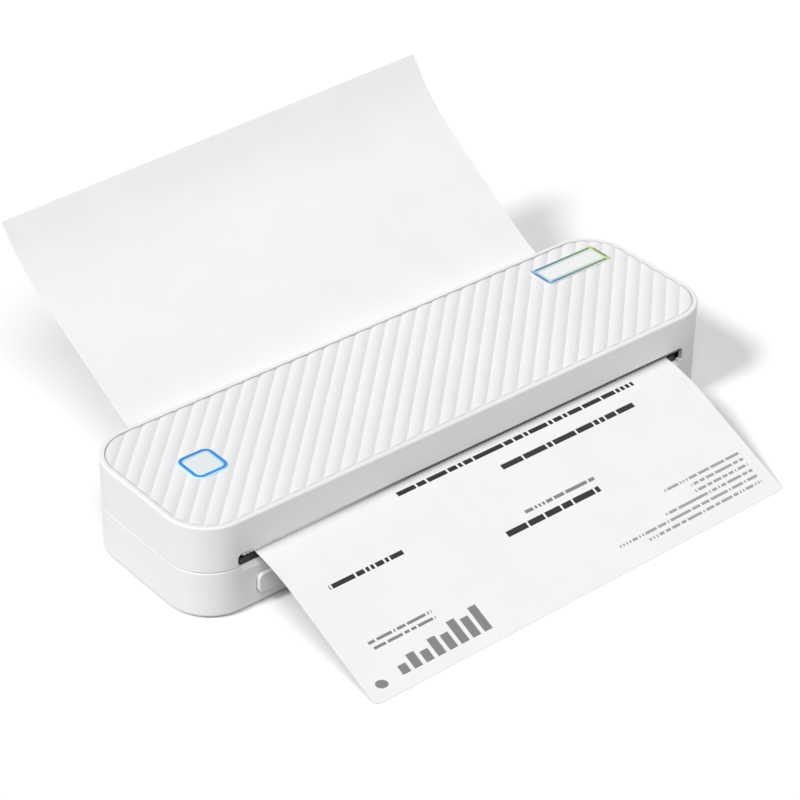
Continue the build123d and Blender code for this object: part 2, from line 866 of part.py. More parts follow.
# The stepper motor: can, front boss and the bore for its shaft.
motor_face_x = -bracket_inner
with BuildPart() as stepper_motor:
    with BuildSketch(across(motor_y, motor_axis_z, motor_face_x)):
        Circle(motor_radius)
    extrude(amount=motor_length)
    chamfer(stepper_motor.faces().sort_by(Axis.X)[-1].edges(), length=0.6)
    with BuildSketch(across(motor_y, motor_axis_z, motor_face_x)):
        Circle(motor_boss_radius)
    extrude(amount=-bracket_thickness)
    with BuildSketch(across(motor_y, motor_axis_z, -bracket_outer)):
        Circle(motor_shaft_radius + running_gap)
    extrude(amount=motor_length / 2, mode=Mode.SUBTRACT)
save(stepper_motor, "stepper_motor")

# The motor's shaft with its pinion.
with BuildPart() as motor_pinion:
    with BuildSketch(across(motor_y, motor_axis_z, large_gear_left)):
        spur_gear(pinion_teeth, compound_to_motor + 180 + 180 / pinion_teeth)
    extrude(amount=large_gear_width)
    shaft_start = -bracket_outer + motor_length / 2 - part_gap
    with BuildSketch(across(motor_y, motor_axis_z, shaft_start)):
        Circle(motor_shaft_radius)
    extrude(amount=large_gear_left - part_gap - shaft_start)
save(motor_pinion, "motor_pinion")

# The reduction gear between the motor and the platen.
with BuildPart() as compound_gear:
    with BuildSketch(across(compound_y, compound_z, large_gear_left)):
        spur_gear(large_teeth, compound_to_motor)
    extrude(amount=large_gear_width)
    with BuildSketch(across(compound_y, compound_z, large_gear_right)):
        spur_gear(small_teeth, platen_to_compound + 180 + 180 / small_teeth)
    extrude(amount=platen_gear_right + gear_side_gap / 2 - large_gear_right)
    with BuildSketch(across(compound_y, compound_z, large_gear_left)):
        Circle(axle_radius + running_gap)
    extrude(amount=-2 * large_gear_left, mode=Mode.SUBTRACT)
save(compound_gear, "compound_gear")

# The fixed axle of the reduction gear, with its retaining head.
axle_head_x = large_gear_left - part_gap
with BuildPart() as gear_axle:
    with BuildSketch(across(compound_y, compound_z, -bracket_inner)):
        Circle(axle_radius)
    extrude(amount=axle_head_x + bracket_inner)
    with BuildSketch(across(compound_y, compound_z, axle_head_x)):
        Circle(2 * axle_radius)
    extrude(amount=-0.6)
save(gear_axle, "gear_axle")

# Two cells end to end, and the tray that holds them.
cell_z = floor_top + cradle_floor + seat_gap + cell_radius
cells_half_length = cell_length + cell_gap / 2
with BuildPart() as battery_cells:
    for start in (-cells_half_length, cell_gap / 2):
        with BuildSketch(across(battery_y, cell_z, start)):
            Circle(cell_radius)
        extrude(amount=cell_length - cell_nub_height)
        with BuildSketch(across(battery_y, cell_z, start + cell_length - cell_nub_height)):
            Circle(cell_nub_radius)
        extrude(amount=cell_nub_height)
save(battery_cells, "battery_cells")

cradle_half_length = cells_half_length + part_gap + cradle_end
with BuildPart() as battery_cradle:
    box_between(
        (-cradle_half_length, cradle_half_length),
        (battery_y - cradle_half_width, battery_y + cradle_half_width),
        (floor_top, floor_top + cradle_height),
    )
    for side in (-1, 1):
        x_limits = sorted((side * cradle_half_length, side * (cradle_half_length - cradle_end)))
        box_between(
            x_limits,
            (battery_y - cradle_half_width / 2, battery_y + cradle_half_width / 2),
            (floor_top, cell_z + cell_nub_radius + 1),
        )
    with BuildSketch(across(battery_y, cell_z)):
        Circle(cell_radius + seat_gap)
    extrude(amount=cells_half_length + part_gap, both=True, mode=Mode.SUBTRACT)
save(battery_cradle, "battery_cradle")

# The main board, with a tongue that reaches the socket in the end wall.
with BuildPart() as main_board:
    with BuildSketch(Plane.XY.offset(board_z)):
        with Locations((board_left_x, board_front_y)):
            Rectangle(
                board_right_x - board_left_x,
                board_rear_y - board_front_y,
                align=(Align.MIN, Align.MIN),
            )
        with Locations((board_right_x - 1, tongue_front_y)):
            Rectangle(
                tongue_right_x + 1 - board_right_x,
                tongue_rear_y - tongue_front_y,
                align=(Align.MIN, Align.MIN),
            )
    extrude(amount=board_thickness)
save(main_board, "main_board")

# Chips, coils, capacitors and the head's socket, as (x, y, length, width, height).
chips = [
    (-45.0, 22.0, 10.0, 10.0, 1.0),
    (-20.0, 24.0, 7.0, 7.0, 0.9),
    (2.0, 20.0, 12.0, 8.0, 1.6),
    (24.0, 25.0, 6.0, 6.0, 2.8),
    (48.0, 24.0, 9.0, 5.0, 1.4),
    (62.0, 15.0, 5.0, 4.0, 1.2),
    (-60.0, 15.0, 8.0, 5.0, 4.5),
    (38.0, 14.0, 10.0, 4.5, 4.5),
]
capacitors = [(-30.0, 14.0), (-10.0, 31.0), (14.0, 14.0), (36.0, 30.0)]
capacitor_radius = 2.5
capacitor_height = 5.4
cable_socket_height = 3.6
with BuildPart() as board_parts:
    for x, y, length, width, height in chips:
        with Locations((x, y, board_top)):
            Box(length, width, height, align=(Align.CENTER, Align.CENTER, Align.MIN))
    for x, y in capacitors:
        with Locations((x, y, board_top)):
            Cylinder(
                capacitor_radius,
                capacitor_height,
                align=(Align.CENTER, Align.CENTER, Align.MIN),
            )
    box_between(
        (cable_left_x - 1, cable_left_x + cable_width + 1),
        (tongue_front_y + part_gap, tongue_front_y + part_gap + cable_socket_depth),
        (board_top, board_top + cable_socket_height),
    )
    box_between(
        (cable_left_x, cable_left_x + cable_width),
        (tongue_front_y, tongue_front_y + 2),
        (cable_low_z - cable_thickness / 2, cable_low_z + cable_thickness / 2),
        mode=Mode.SUBTRACT,
    )
save(board_parts, "board_parts")

# The charging socket: a folded metal mouth with its contact tongue.
with BuildPart() as usb_socket:
    socket_back_x = half_length - part_gap - usb_length
    with BuildSketch(across(usb_y, usb_z, socket_back_x)):
        RectangleRounded(usb_width, usb_height, usb_height / 2 - 0.01)
    extrude(amount=usb_length)
    with BuildSketch(across(usb_y, usb_z, socket_back_x + usb_wall)):
        RectangleRounded(
            usb_width - 2 * usb_wall,
            usb_height - 2 * usb_wall,
            usb_height / 2 - usb_wall - 0.01,
        )
    extrude(amount=usb_length, mode=Mode.SUBTRACT)
    with BuildSketch(across(usb_y, usb_z, socket_back_x + usb_wall)):
        Rectangle(usb_width - 2.6, usb_tongue)
    extrude(amount=usb_length - usb_wall - 1.0)
save(usb_socket, "usb_socket")

# Optical sensor that sees the paper through the chassis.
sensor_x = -60.0
sensor_lag = 16.5
sensor_y = nip_y + sensor_lag
sensor_size = (8.0, 4.0)
sensor_top = nip_z + feed_slope * (sensor_y - nip_y) - guide_gap - guide_thickness - 0.4
with BuildPart() as paper_sensor:
    with Locations((sensor_x, sensor_y, sensor_top)):
        Box(*sensor_size, 1.2, align=(Align.CENTER, Align.CENTER, Align.MAX))
save(paper_sensor, "paper_sensor")

# Micro switch on the right-hand bracket that tells whether the cover is shut.
cover_switch_y = bracket_nose_y + cover_switch_inset
cover_switch_top = bracket_top - cover_switch_plunger
with BuildPart() as cover_switch:
    box_between(
        (bracket_outer + seat_gap, bracket_outer + seat_gap + cover_switch_width),
        (cover_switch_y, cover_switch_y + cover_switch_length),
        (bracket_shelf_z + cover_switch_plunger, cover_switch_top),
    )
    box_between(
        (bracket_outer + cover_switch_plunger, bracket_outer + 2 * cover_switch_plunger),
        (cover_switch_y + cover_switch_plunger, cover_switch_y + 2 * cover_switch_plunger),
        (cover_switch_top, cover_switch_top + cover_switch_plunger / 2),
    )
save(cover_switch, "cover_switch")

# ======================================================================================
# Release button and latch bar
# ======================================================================================
with BuildPart() as release_button:
    with BuildSketch(Plane.XZ.offset(half_width + release_proud)):
        with Locations((release_x, release_z)):
            RectangleRounded(release_length, release_height, release_radius)
    flange_front_y = inner_front + part_gap
    extrude(amount=-(half_width + release_proud + flange_front_y))
    fillet(release_button.faces().sort_by(Axis.Y)[0].edges(), radius=release_edge_round)
    with BuildSketch(Plane.XZ.offset(-flange_front_y)):
        with Locations((release_x, release_z)):
            RectangleRounded(
                release_length + 2 * release_flange,
                release_height + 2 * release_flange,
                release_radius,
            )
    extrude(amount=-release_flange_thickness)
save(release_button, "release_button")

# The bar behind the front wall that carries the two latch hooks.
hook_inner_x = latch_half_length - latch_arm_width
latch_arm_rear = latch_arm_y + latch_thickness
latch_top = latch_bottom + latch_height
with BuildPart() as latch_bar:
    box_between(
        (-latch_half_length, latch_half_length),
        (latch_front_y, latch_rear_y),
        (latch_bottom, latch_top),
    )
    for x in (
        release_left_x + release_rib_inset,
        release_left_x + release_length - release_rib_inset - release_rib_width,
    ):
        box_between(
            (x, x + release_rib_width),
            (flange_front_y + release_flange_thickness, latch_front_y),
            (latch_bottom + part_gap, latch_top - part_gap),
        )
    for side in (-1, 1):
        x_limits = sorted((side * hook_inner_x, side * latch_half_length))
        box_between(x_limits, (latch_rear_y, latch_arm_rear), (latch_bottom, latch_top))
        box_between(x_limits, (latch_arm_y, latch_arm_rear), (latch_bottom, latch_arm_top))
        with BuildSketch(across(latch_arm_y, latch_arm_top, x_limits[0])):
            Polygon(
                (0, 0),
                (-latch_nose, -latch_nose_height / 2),
                (-latch_nose, -latch_nose_height),
                (0, -latch_nose_height),
                align=None,
            )
        extrude(amount=latch_arm_width)
save(latch_bar, "latch_bar")

with BuildPart() as latch_springs:
    for x in latch_spring_xs:
        with BuildSketch(Plane.XZ.offset(-latch_rear_y)):
            with Locations((x, latch_spring_z)):
                Circle(latch_spring_radius)
                Circle(latch_spring_bore, mode=Mode.SUBTRACT)
        extrude(amount=-latch_spring_length)
save(latch_springs, "latch_springs")

# ======================================================================================
# Cover
# ======================================================================================
catch_front_y = latch_arm_y - latch_nose - part_gap - catch_ledge - catch_thickness
catch_rear_y = catch_front_y + catch_thickness
catch_bottom = latch_arm_top - latch_nose_height - part_gap - catch_ledge_height
button_hole = ring_size + 2 * seat_gap
board_seat = plate_underside - button_board_drop
button_bosses = [
    (button_x + side * button_boss_spacing / 2, button_y) for side in (-1, 1)
]
flange_screws = [(x, flange_screw_y) for x in flange_screw_xs]

# The upper casing: a shell with a recess on top for the ribbed panel.
with BuildPart() as cover_shell:
    with BuildSketch(Plane.XY.offset(cover_bottom)):
        RectangleRounded(body_length, body_width, corner_radius)
    extrude(amount=body_height - cover_bottom)
    fillet(cover_shell.faces().sort_by(Axis.Z)[-1].edges(), radius=rim_round)
    chamfer(cover_shell.faces().sort_by(Axis.Z)[0].edges(), length=seam_edge)
    with BuildSketch(Plane.XY.offset(cover_bottom)):
        RectangleRounded(inner_length, inner_width, inner_radius)
    extrude(amount=plate_underside - cover_bottom, mode=Mode.SUBTRACT)
    with BuildSketch(Plane.XY.offset(panel_seat)):
        RectangleRounded(
            body_length - 2 * rim_width, body_width - 2 * rim_width, corner_radius - rim_width
        )
    extrude(amount=panel_depth, mode=Mode.SUBTRACT)
    # front paper slot, open at its lower side
    with BuildSketch(Plane.XZ.offset(-inner_front - 1)):
        with Locations((0, slot_top)):
            RectangleRounded(
                2 * slot_half_length,
                2 * (slot_top - cover_bottom),
                slot_end_round,
                align=(Align.CENTER, Align.MAX),
            )
    extrude(amount=wall + 2, mode=Mode.SUBTRACT)
    # rear opening for the paper, and the clearance round the hinge ears
    box_between(
        (-rear_wall_half - split_gap, rear_wall_half + split_gap),
        (hinge_y - hinge_radius - split_gap, half_width + 1),
        (cover_bottom - 1, rear_lip_bottom),
        mode=Mode.SUBTRACT,
    )
    for side in (-1, 1):
        x_limits = sorted((side * (lug_outer + seat_gap), side * (rear_wall_half + split_gap)))
        box_between(
            x_limits,
            (hinge_y - hinge_radius - split_gap, half_width + 1),
            (rear_lip_bottom - 1, panel_seat),
            mode=Mode.SUBTRACT,
        )
        # hinge lug
        with BuildSketch(across(hinge_y, hinge_z, side * lug_inner)):
            Circle(hinge_radius)
            Rectangle(
                2 * hinge_radius,
                plate_underside - hinge_z,
                align=(Align.CENTER, Align.MIN),
            )
        extrude(amount=side * (lug_outer - lug_inner))
        with BuildSketch(across(hinge_y, hinge_z, side * lug_inner)):
            Circle(hinge_pin_radius + running_gap)
        extrude(amount=side * (lug_outer - lug_inner + split_gap), mode=Mode.SUBTRACT)
        # catch for the latch hook
        catch_inner = hook_inner_x + catch_side_gap
        catch_outer = latch_half_length - catch_side_gap
        x_limits = sorted((side * catch_inner, side * catch_outer))
        box_between(
            x_limits, (catch_front_y, catch_rear_y), (catch_bottom, plate_underside)
        )
        box_between(
            x_limits,
            (catch_rear_y, catch_rear_y + catch_ledge),
            (catch_bottom, catch_bottom + catch_ledge_height),
        )
        box_between(
            x_limits, (inner_front + 2, catch_front_y), (slot_top, plate_underside)
        )
    # opening for the power button, and its board's bosses
    with BuildSketch(Plane.XY.offset(plate_underside)):
        with Locations((button_x, button_y)):
            RectangleRounded(button_hole, button_hole, ring_radius + seat_gap)
    extrude(amount=plate_thickness, mode=Mode.SUBTRACT)
    with BuildSketch(Plane.XY.offset(board_seat)):
        with Locations(*button_bosses):
            Circle(button_boss_radius)
            Circle(small_screw_radius, mode=Mode.SUBTRACT)
    extrude(amount=plate_underside - board_seat)
    with BuildSketch(Plane.XY.offset(plate_underside)):
        with Locations(*flange_screws):
            Circle(small_screw_radius)
    extrude(amount=plate_thickness - 0.4, mode=Mode.SUBTRACT)
save(cover_shell, "cover_shell")

# The ribbed top panel: slanting ribs, each with a sharp left edge and a slope to the right.
rib_pitch = rib_pitch_x * sin(radians(rib_angle))
rib_start = rib_crossing_x * sin(radians(rib_angle))
rib_reach = hypot(half_length, half_width)
rib_count = int(rib_reach / rib_pitch) + 1
rib_base = panel_seat + panel_base
across_ribs = (sin(radians(rib_angle)), -cos(radians(rib_angle)), 0)
along_ribs = (-cos(radians(rib_angle)), -sin(radians(rib_angle)), 0)
panel_length = body_length - 2 * rim_width - 2 * panel_gap
panel_width = body_width - 2 * rim_width - 2 * panel_gap
panel_radius = corner_radius - rim_width - panel_gap
with BuildPart() as top_panel:
    with BuildSketch(Plane(origin=(0, 0, 0), x_dir=across_ribs, z_dir=along_ribs)):
        with BuildLine():
            first = rib_start - rib_count * rib_pitch
            last = rib_start + rib_count * rib_pitch
            for index in range(-rib_count, rib_count):
                left = rib_start + index * rib_pitch
                crest = left + rib_crest_share * rib_pitch
                Line((left, rib_base), (left, rib_base + rib_step))
                ThreePointArc(
                    (left, rib_base + rib_step),
                    (crest, rib_base + rib_height),
                    (left + rib_pitch, rib_base),
                )
            Line((last, rib_base), (last, panel_seat))
            Line((last, panel_seat), (first, panel_seat))
            Line((first, panel_seat), (first, rib_base))
        make_face()
    extrude(amount=rib_reach, both=True)
    with BuildSketch(Plane.XY.offset(panel_seat)):
        RectangleRounded(panel_length, panel_width, panel_radius)
    extrude(amount=panel_depth, mode=Mode.INTERSECT)
    with BuildSketch(Plane.XY.offset(panel_seat)):
        with Locations((button_x, button_y)):
            RectangleRounded(button_hole, button_hole, ring_radius + seat_gap)
    extrude(amount=panel_depth, mode=Mode.SUBTRACT)
    with BuildSketch(Plane.XY.offset(rib_base)):
        with Locations((badge_x, badge_y)):
            RectangleRounded(
                badge_length + 2 * seat_gap,
                badge_width + 2 * seat_gap,
                badge_radius + seat_gap,
            )
    extrude(amount=panel_depth, mode=Mode.SUBTRACT)
save(top_panel, "top_panel")

# A bare badge plate, seated in its pocket in the panel.
with BuildPart() as badge_plate:
    with BuildSketch(Plane.XY.offset(rib_base)):
        with Locations((badge_x, badge_y)):
            RectangleRounded(badge_length, badge_width, badge_radius)
    extrude(amount=badge_thickness)
    chamfer(badge_plate.faces().sort_by(Axis.Z)[-1].edges(), length=0.15)
save(badge_plate, "badge_plate")

# The light ring round the power button, with a flange under the plate.
ring_inner = ring_size - 2 * ring_width
with BuildPart() as light_ring:
    flange_z = plate_underside - ring_flange_thickness
    with BuildSketch(Plane.XY.offset(flange_z)):
        with Locations((button_x, button_y)):
            RectangleRounded(
                ring_size + 2 * ring_flange, ring_size + 2 * ring_flange, ring_radius + ring_flange
            )
    extrude(amount=ring_flange_thickness)
    with BuildSketch(Plane.XY.offset(flange_z)):
        with Locations((button_x, button_y)):
            RectangleRounded(ring_size, ring_size, ring_radius)
    extrude(amount=body_height + ring_proud - flange_z)
    fillet(light_ring.faces().sort_by(Axis.Z)[-1].edges(), radius=0.2)
    with BuildSketch(Plane.XY.offset(flange_z)):
        with Locations((button_x, button_y)):
            RectangleRounded(ring_inner, ring_inner, ring_radius - ring_width)
    extrude(amount=body_height, mode=Mode.SUBTRACT)
save(light_ring, "light_ring")

# The power button: a cap in the ring, a retaining flange and a stem for the switch.
cap_size = ring_inner - 2 * button_gap
cap_radius = ring_radius - ring_width - button_gap
button_flange_top = flange_z - seat_gap
button_flange_bottom = button_flange_top - button_flange_thickness
stem_bottom = button_flange_bottom - button_stem_length
with BuildPart() as power_button:
    with BuildSketch(Plane.XY.offset(button_flange_bottom)):
        with Locations((button_x, button_y)):
            RectangleRounded(cap_size, cap_size, cap_radius)
    extrude(amount=body_height - button_flange_bottom)
    fillet(power_button.faces().sort_by(Axis.Z)[-1].edges(), radius=0.3)
    with BuildSketch(Plane.XY.offset(button_flange_bottom)):
        with Locations((button_x, button_y)):
            RectangleRounded(
                cap_size + 2 * button_flange, cap_size + 2 * button_flange, cap_radius
            )
    extrude(amount=button_flange_thickness)
    with BuildSketch(Plane.XY.offset(stem_bottom)):
        with Locations((button_x, button_y)):
            Circle(button_stem_radius)
    extrude(amount=button_stem_length)
save(power_button, "power_button")

# The button's board and switch, screwed to the bosses of the cover.
with BuildPart() as button_board:
    with BuildSketch(Plane.XY.offset(board_seat - board_thickness)):
        with Locations((button_x, button_y)):
            Rectangle(*button_board_size)
        with Locations(*button_bosses):
            Circle(small_screw_radius + seat_gap, mode=Mode.SUBTRACT)
    extrude(amount=board_thickness)
save(button_board, "button_board")

plunger_top = stem_bottom - button_travel - switch_gap
plunger_bottom = plunger_top - switch_plunger_height
with BuildPart() as button_switch:
    with BuildSketch(Plane.XY.offset(board_seat)):
        with Locations((button_x, button_y)):
            Rectangle(switch_size, switch_size)
    extrude(amount=plunger_bottom - board_seat)
    with BuildSketch(Plane.XY.offset(plunger_bottom)):
        with Locations((button_x, button_y)):
            Circle(switch_plunger_radius)
    extrude(amount=switch_plunger_height)
save(button_switch, "button_switch")

# The platen carrier: end plates, a rear web, the screw flange and the upper paper guide.
carrier_top = plate_underside
upper_lift = paper_thickness / 2 + upper_guide_gap + guide_thickness / 2
upper_front = on_line(nip_point, feed_slope, carrier_web_y)
upper_rear = on_line(inlet_point, inlet_slope, upper_guide_rear_y)
web_rear_y = carrier_web_y + carrier_web_thickness
carrier_posts = [(x, carrier_post_y) for x in carrier_post_xs]
flange_bottom = carrier_top - guide_thickness
with BuildPart() as platen_carrier:
    with BuildSketch(Plane.YZ):
        with BuildLine() as upper_line:
            FilletPolyline(
                *lifted([upper_front, inlet_corner, upper_rear], upper_lift),
                radius=inlet_bend_radius / 2,
            )
        trace(upper_line.line, line_width=guide_thickness)
    extrude(amount=upper_guide_half_length, both=True)
    box_between(
        (-carrier_plate_outer, carrier_plate_outer),
        (carrier_web_y, web_rear_y),
        (nip_z + upper_guide_gap + guide_thickness, carrier_top),
    )
    box_between(
        (button_x + flange_button_gap, upper_guide_half_length),
        (carrier_web_y, carrier_flange_rear_y),
        (flange_bottom, carrier_top),
    )
    for side in (-1, 1):
        x_limits = sorted((side * carrier_plate_inner, side * carrier_plate_outer))
        box_between(
            x_limits, (carrier_front_y, web_rear_y), (carrier_bottom, carrier_top)
        )
    with BuildSketch(Plane.XY.offset(nip_z + upper_guide_gap + 3)):
        with Locations(*carrier_posts):
            Circle(carrier_post_radius)
    extrude(amount=carrier_top - nip_z - upper_guide_gap - 3)
    with BuildSketch(across(platen_y, platen_z)):
        Circle(bushing_radius + fixed_gap)
    extrude(amount=half_length, both=True, mode=Mode.SUBTRACT)
    with BuildSketch(Plane.XY.offset(flange_bottom)):
        with Locations(*flange_screws):
            Circle(small_screw_radius + seat_gap)
    extrude(amount=guide_thickness, mode=Mode.SUBTRACT)
save(platen_carrier, "platen_carrier")

# Screws of the cover: through the carrier's flange, and through the button's board.
with BuildPart() as cover_screws:
    with BuildSketch(Plane.XY.offset(flange_bottom - small_screw_head_height)):
        with Locations(*flange_screws):
            Circle(small_screw_head_radius)
    extrude(amount=small_screw_head_height)
    with BuildSketch(Plane.XY.offset(flange_bottom)):
        with Locations(*flange_screws):
            Circle(small_screw_radius - fixed_gap)
    extrude(amount=guide_thickness + plate_thickness - 0.6)
    button_head_z = board_seat - board_thickness - small_screw_head_height
    with BuildSketch(Plane.XY.offset(button_head_z)):
        with Locations(*button_bosses):
            Circle(small_screw_head_radius)
    extrude(amount=small_screw_head_height)
    with BuildSketch(Plane.XY.offset(button_head_z + small_screw_head_height)):
        with Locations(*button_bosses):
            Circle(small_screw_radius - fixed_gap)
    extrude(amount=board_thickness + 3.5)
save(cover_screws, "cover_screws")

# The tear bar: an angle with a toothed lip, fixed behind the cover's front wall.
with BuildPart() as tear_bar:
    leg_front_y = inner_front + seat_gap
    box_between(
        (-bar_half_length, bar_half_length),
        (leg_front_y, leg_front_y + bar_thickness),
        (bar_bottom, bar_bottom + bar_lip_height + bar_leg_height),
    )
    box_between(
        (-bar_half_length, bar_half_length),
        (bar_front_y, leg_front_y),
        (bar_bottom, bar_bottom + bar_lip_height),
    )
    tooth_count = int(2 * bar_half_length / bar_tooth_pitch)
    with BuildSketch(Plane.XY.offset(bar_bottom)):
        with GridLocations(bar_tooth_pitch, 0, tooth_count, 1):
            with Locations((0, bar_front_y)):
                Polygon(
                    (-bar_tooth_pitch / 2, 0),
                    (0, bar_tooth_depth),
                    (bar_tooth_pitch / 2, 0),
                    (0, -bar_tooth_depth),
                    align=None,
                )
    extrude(amount=bar_tooth_depth, mode=Mode.SUBTRACT)
save(tear_bar, "tear_bar")

# ======================================================================================
# Platen
# ======================================================================================
with BuildPart() as platen_bushings:
    for side in (-1, 1):
        with BuildSketch(across(platen_y, platen_z, side * carrier_plate_inner)):
            Circle(bushing_radius)
        extrude(amount=side * carrier_plate_thickness)
        with BuildSketch(across(platen_y, platen_z, side * carrier_plate_outer)):
            Circle(bushing_flange_radius)
        extrude(amount=side * bushing_flange)
    with BuildSketch(across(platen_y, platen_z)):
        Circle(shaft_radius + running_gap)
    extrude(amount=half_length, both=True, mode=Mode.SUBTRACT)
save(platen_bushings, "platen_bushings")

with BuildPart() as platen_shaft:
    with BuildSketch(across(platen_y, platen_z, shaft_left_end)):
        Circle(shaft_radius)
    extrude(amount=shaft_right_end - shaft_left_end)
    chamfer(platen_shaft.edges().filter_by(GeomType.CIRCLE), length=0.3)
save(platen_shaft, "platen_shaft")

with BuildPart() as platen_rubber:
    with BuildSketch(across(platen_y, platen_z)):
        Circle(platen_radius)
        Circle(shaft_radius + fixed_gap, mode=Mode.SUBTRACT)
    extrude(amount=platen_half_length, both=True)
save(platen_rubber, "platen_rubber")

with BuildPart() as platen_gear:
    with BuildSketch(across(platen_y, platen_z, platen_gear_left)):
        spur_gear(platen_teeth, platen_to_compound)
        Circle(shaft_radius + fixed_gap, mode=Mode.SUBTRACT)
    extrude(amount=platen_gear_width)
save(platen_gear, "platen_gear")
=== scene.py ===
import bmesh
import bpy
from math import pi, radians, tan
from mathutils import Matrix, Vector


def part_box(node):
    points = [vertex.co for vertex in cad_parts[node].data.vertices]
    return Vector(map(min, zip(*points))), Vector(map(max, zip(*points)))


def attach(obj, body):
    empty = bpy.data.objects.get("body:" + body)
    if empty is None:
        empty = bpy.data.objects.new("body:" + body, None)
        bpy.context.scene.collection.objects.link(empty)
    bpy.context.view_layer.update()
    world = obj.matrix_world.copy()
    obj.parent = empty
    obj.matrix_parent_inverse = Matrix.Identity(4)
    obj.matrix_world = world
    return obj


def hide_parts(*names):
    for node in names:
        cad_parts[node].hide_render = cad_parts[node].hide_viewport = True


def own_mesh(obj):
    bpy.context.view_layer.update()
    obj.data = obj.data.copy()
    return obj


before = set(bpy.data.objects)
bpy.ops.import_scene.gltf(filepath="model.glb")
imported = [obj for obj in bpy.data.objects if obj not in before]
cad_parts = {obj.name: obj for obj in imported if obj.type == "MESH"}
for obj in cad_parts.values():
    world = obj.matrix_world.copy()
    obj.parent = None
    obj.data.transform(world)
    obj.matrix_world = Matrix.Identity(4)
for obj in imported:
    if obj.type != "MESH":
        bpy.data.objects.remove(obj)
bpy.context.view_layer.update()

# ---- Lower casing -----------------------------------------------------------------------
# The tray that carries everything, injection moulded in satin white ABS, with the
# spark-eroded grain of its mould and a faint change of tone along the flow.


class Field:
    """A socket of a material; arithmetic on it adds Math nodes, and node() adds any other."""

    def __init__(self, socket):
        self.socket = socket

    def node(self, kind, settings, inputs, output=0):
        """Adds a node: its settings first, then the values or links of its sockets."""
        tree = self.socket.id_data
        made = tree.nodes.new("ShaderNode" + kind)
        for key, value in settings.items():
            if key == "stops":
                ramp = made.color_ramp
                ends = {0: ramp.elements[0], len(value) - 1: ramp.elements[1]}
                for index, (place, colour) in enumerate(value):
                    element = ends.get(index) or ramp.elements.new(place)
                    element.position = place
                    element.color = (*colour, 1.0)
            else:
                setattr(made, key, value)
        for key, value in inputs.items():
            if isinstance(value, Field):
                tree.links.new(value.socket, made.inputs[key])
            else:
                made.inputs[key].default_value = value
        return Field(made.outputs[output])

    def maths(self, operation, *values):
        return self.node("Math", {"operation": operation}, dict(enumerate(values)))

    def __add__(self, other):
        return self.maths("ADD", self, other)

    def __sub__(self, other):
        return self.maths("SUBTRACT", self, other)

    def __rsub__(self, other):
        return self.maths("SUBTRACT", other, self)

    def __mul__(self, other):
        return self.maths("MULTIPLY", self, other)

    def __truediv__(self, other):
        return self.maths("DIVIDE", self, other)

    def __lt__(self, other):
        return self.maths("LESS_THAN", self, other)

    def __gt__(self, other):
        return self.maths("GREATER_THAN", self, other)

    def __abs__(self):
        return self.maths("ABSOLUTE", self)

    __radd__ = __add__

    def fraction(self):
        return self.maths("FRACT", self)

    def floor(self):
        return self.maths("FLOOR", self)

    def larger(self, other):
        return self.maths("MAXIMUM", self, other)

    def smaller(self, other):
        return self.maths("MINIMUM", self, other)

    def axis(self, name):
        """One coordinate of a vector."""
        return self.node("SeparateXYZ", {}, {0: self}, "XYZ".index(name))

    def vector(self, operation, other=(0, 0, 0), output=0):
        return self.node("VectorMath", {"operation": operation}, {0: self, 1: other}, output)

    def length(self):
        return self.vector("LENGTH", output=1)

    def noise(self, scale, detail=2.0):
        return self.node("TexNoise", {}, {"Vector": self, "Scale": scale, "Detail": detail})

    def ease(self, low, high):
        """0 at low, 1 at high, and smooth between them."""
        settings = {"interpolation_type": "SMOOTHSTEP"}
        return self.node("MapRange", settings, {0: self, 1: low, 2: high})

    def between(self, low, high):
        return (self > low) * (self < high)

    def blend(self, below, above):
        """A colour that goes from below to above as this factor goes from 0 to 1."""
        colours = {6: below, 7: above}
        for key, colour in colours.items():
            if not isinstance(colour, Field):
                colours[key] = (*colour, 1.0)
        return self.node("Mix", {"data_type": "RGBA"}, {0: self, **colours}, 2)

    def relief(self, depth):
        """A normal with this field as its height, depth metres for a rise of 1."""
        return self.node("Bump", {}, {"Height": self, "Distance": depth, "Strength": 1.0})

    def into(self, shader, socket):
        self.socket.id_data.links.new(self.socket, shader.inputs[socket])


def finish(name, colour, roughness, **constants):
    """A material with its Principled shader, and the Object coordinates of what wears it."""
    material = bpy.data.materials.new(name)
    material.use_nodes = True
    shader = material.node_tree.nodes["Principled BSDF"]
    shader.inputs["Base Color"].default_value = (*colour, 1.0)
    shader.inputs["Roughness"].default_value = roughness
    for socket, value in constants.items():
        shader.inputs[socket.replace("_", " ")].default_value = value
    coordinates = material.node_tree.nodes.new("ShaderNodeTexCoord")
    return material, shader, Field(coordinates.outputs["Object"])


def dress(material, *names):
    """Gives a material to nodes of the frame."""
    for name in names:
        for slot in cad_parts[name].material_slots:
            slot.material = material


def moulded(name, colour, roughness, grain, depth, **constants):
    """Moulded plastic: an eroded grain of that size, and tone and gloss that drift a little."""
    material, shader, place = finish(name, colour, roughness, **constants)
    drift = place.noise(14.0)
    shade = tuple(0.965 * part for part in colour)
    drift.ease(0.3, 0.7).blend(shade, colour).into(shader, "Base Color")
    pits = place.noise(1.0 / grain, 3.0)
    (roughness + (pits - 0.5) * 0.16 + (drift - 0.5) * 0.08).into(shader, "Roughness")
    pits.relief(depth).into(shader, "Normal")
    return material


casing_white = (0.815, 0.817, 0.822)
casing_plastic = moulded("casing_plastic", casing_white, 0.40, 0.00045, 0.000012)
dress(casing_plastic, "base_shell", "cover_shell", "release_button")

# ---- Feet, rating plate and case screws ---------------------------------------------------
# Four die-cut silicone pads in shallow recesses, a bare film plate stuck in its pocket, and
# blackened screws driven up from below into the chassis.
foot_rubber = moulded("foot_rubber", (0.27, 0.27, 0.28), 0.72, 0.0006, 0.00003)
dress(foot_rubber, "rubber_feet")

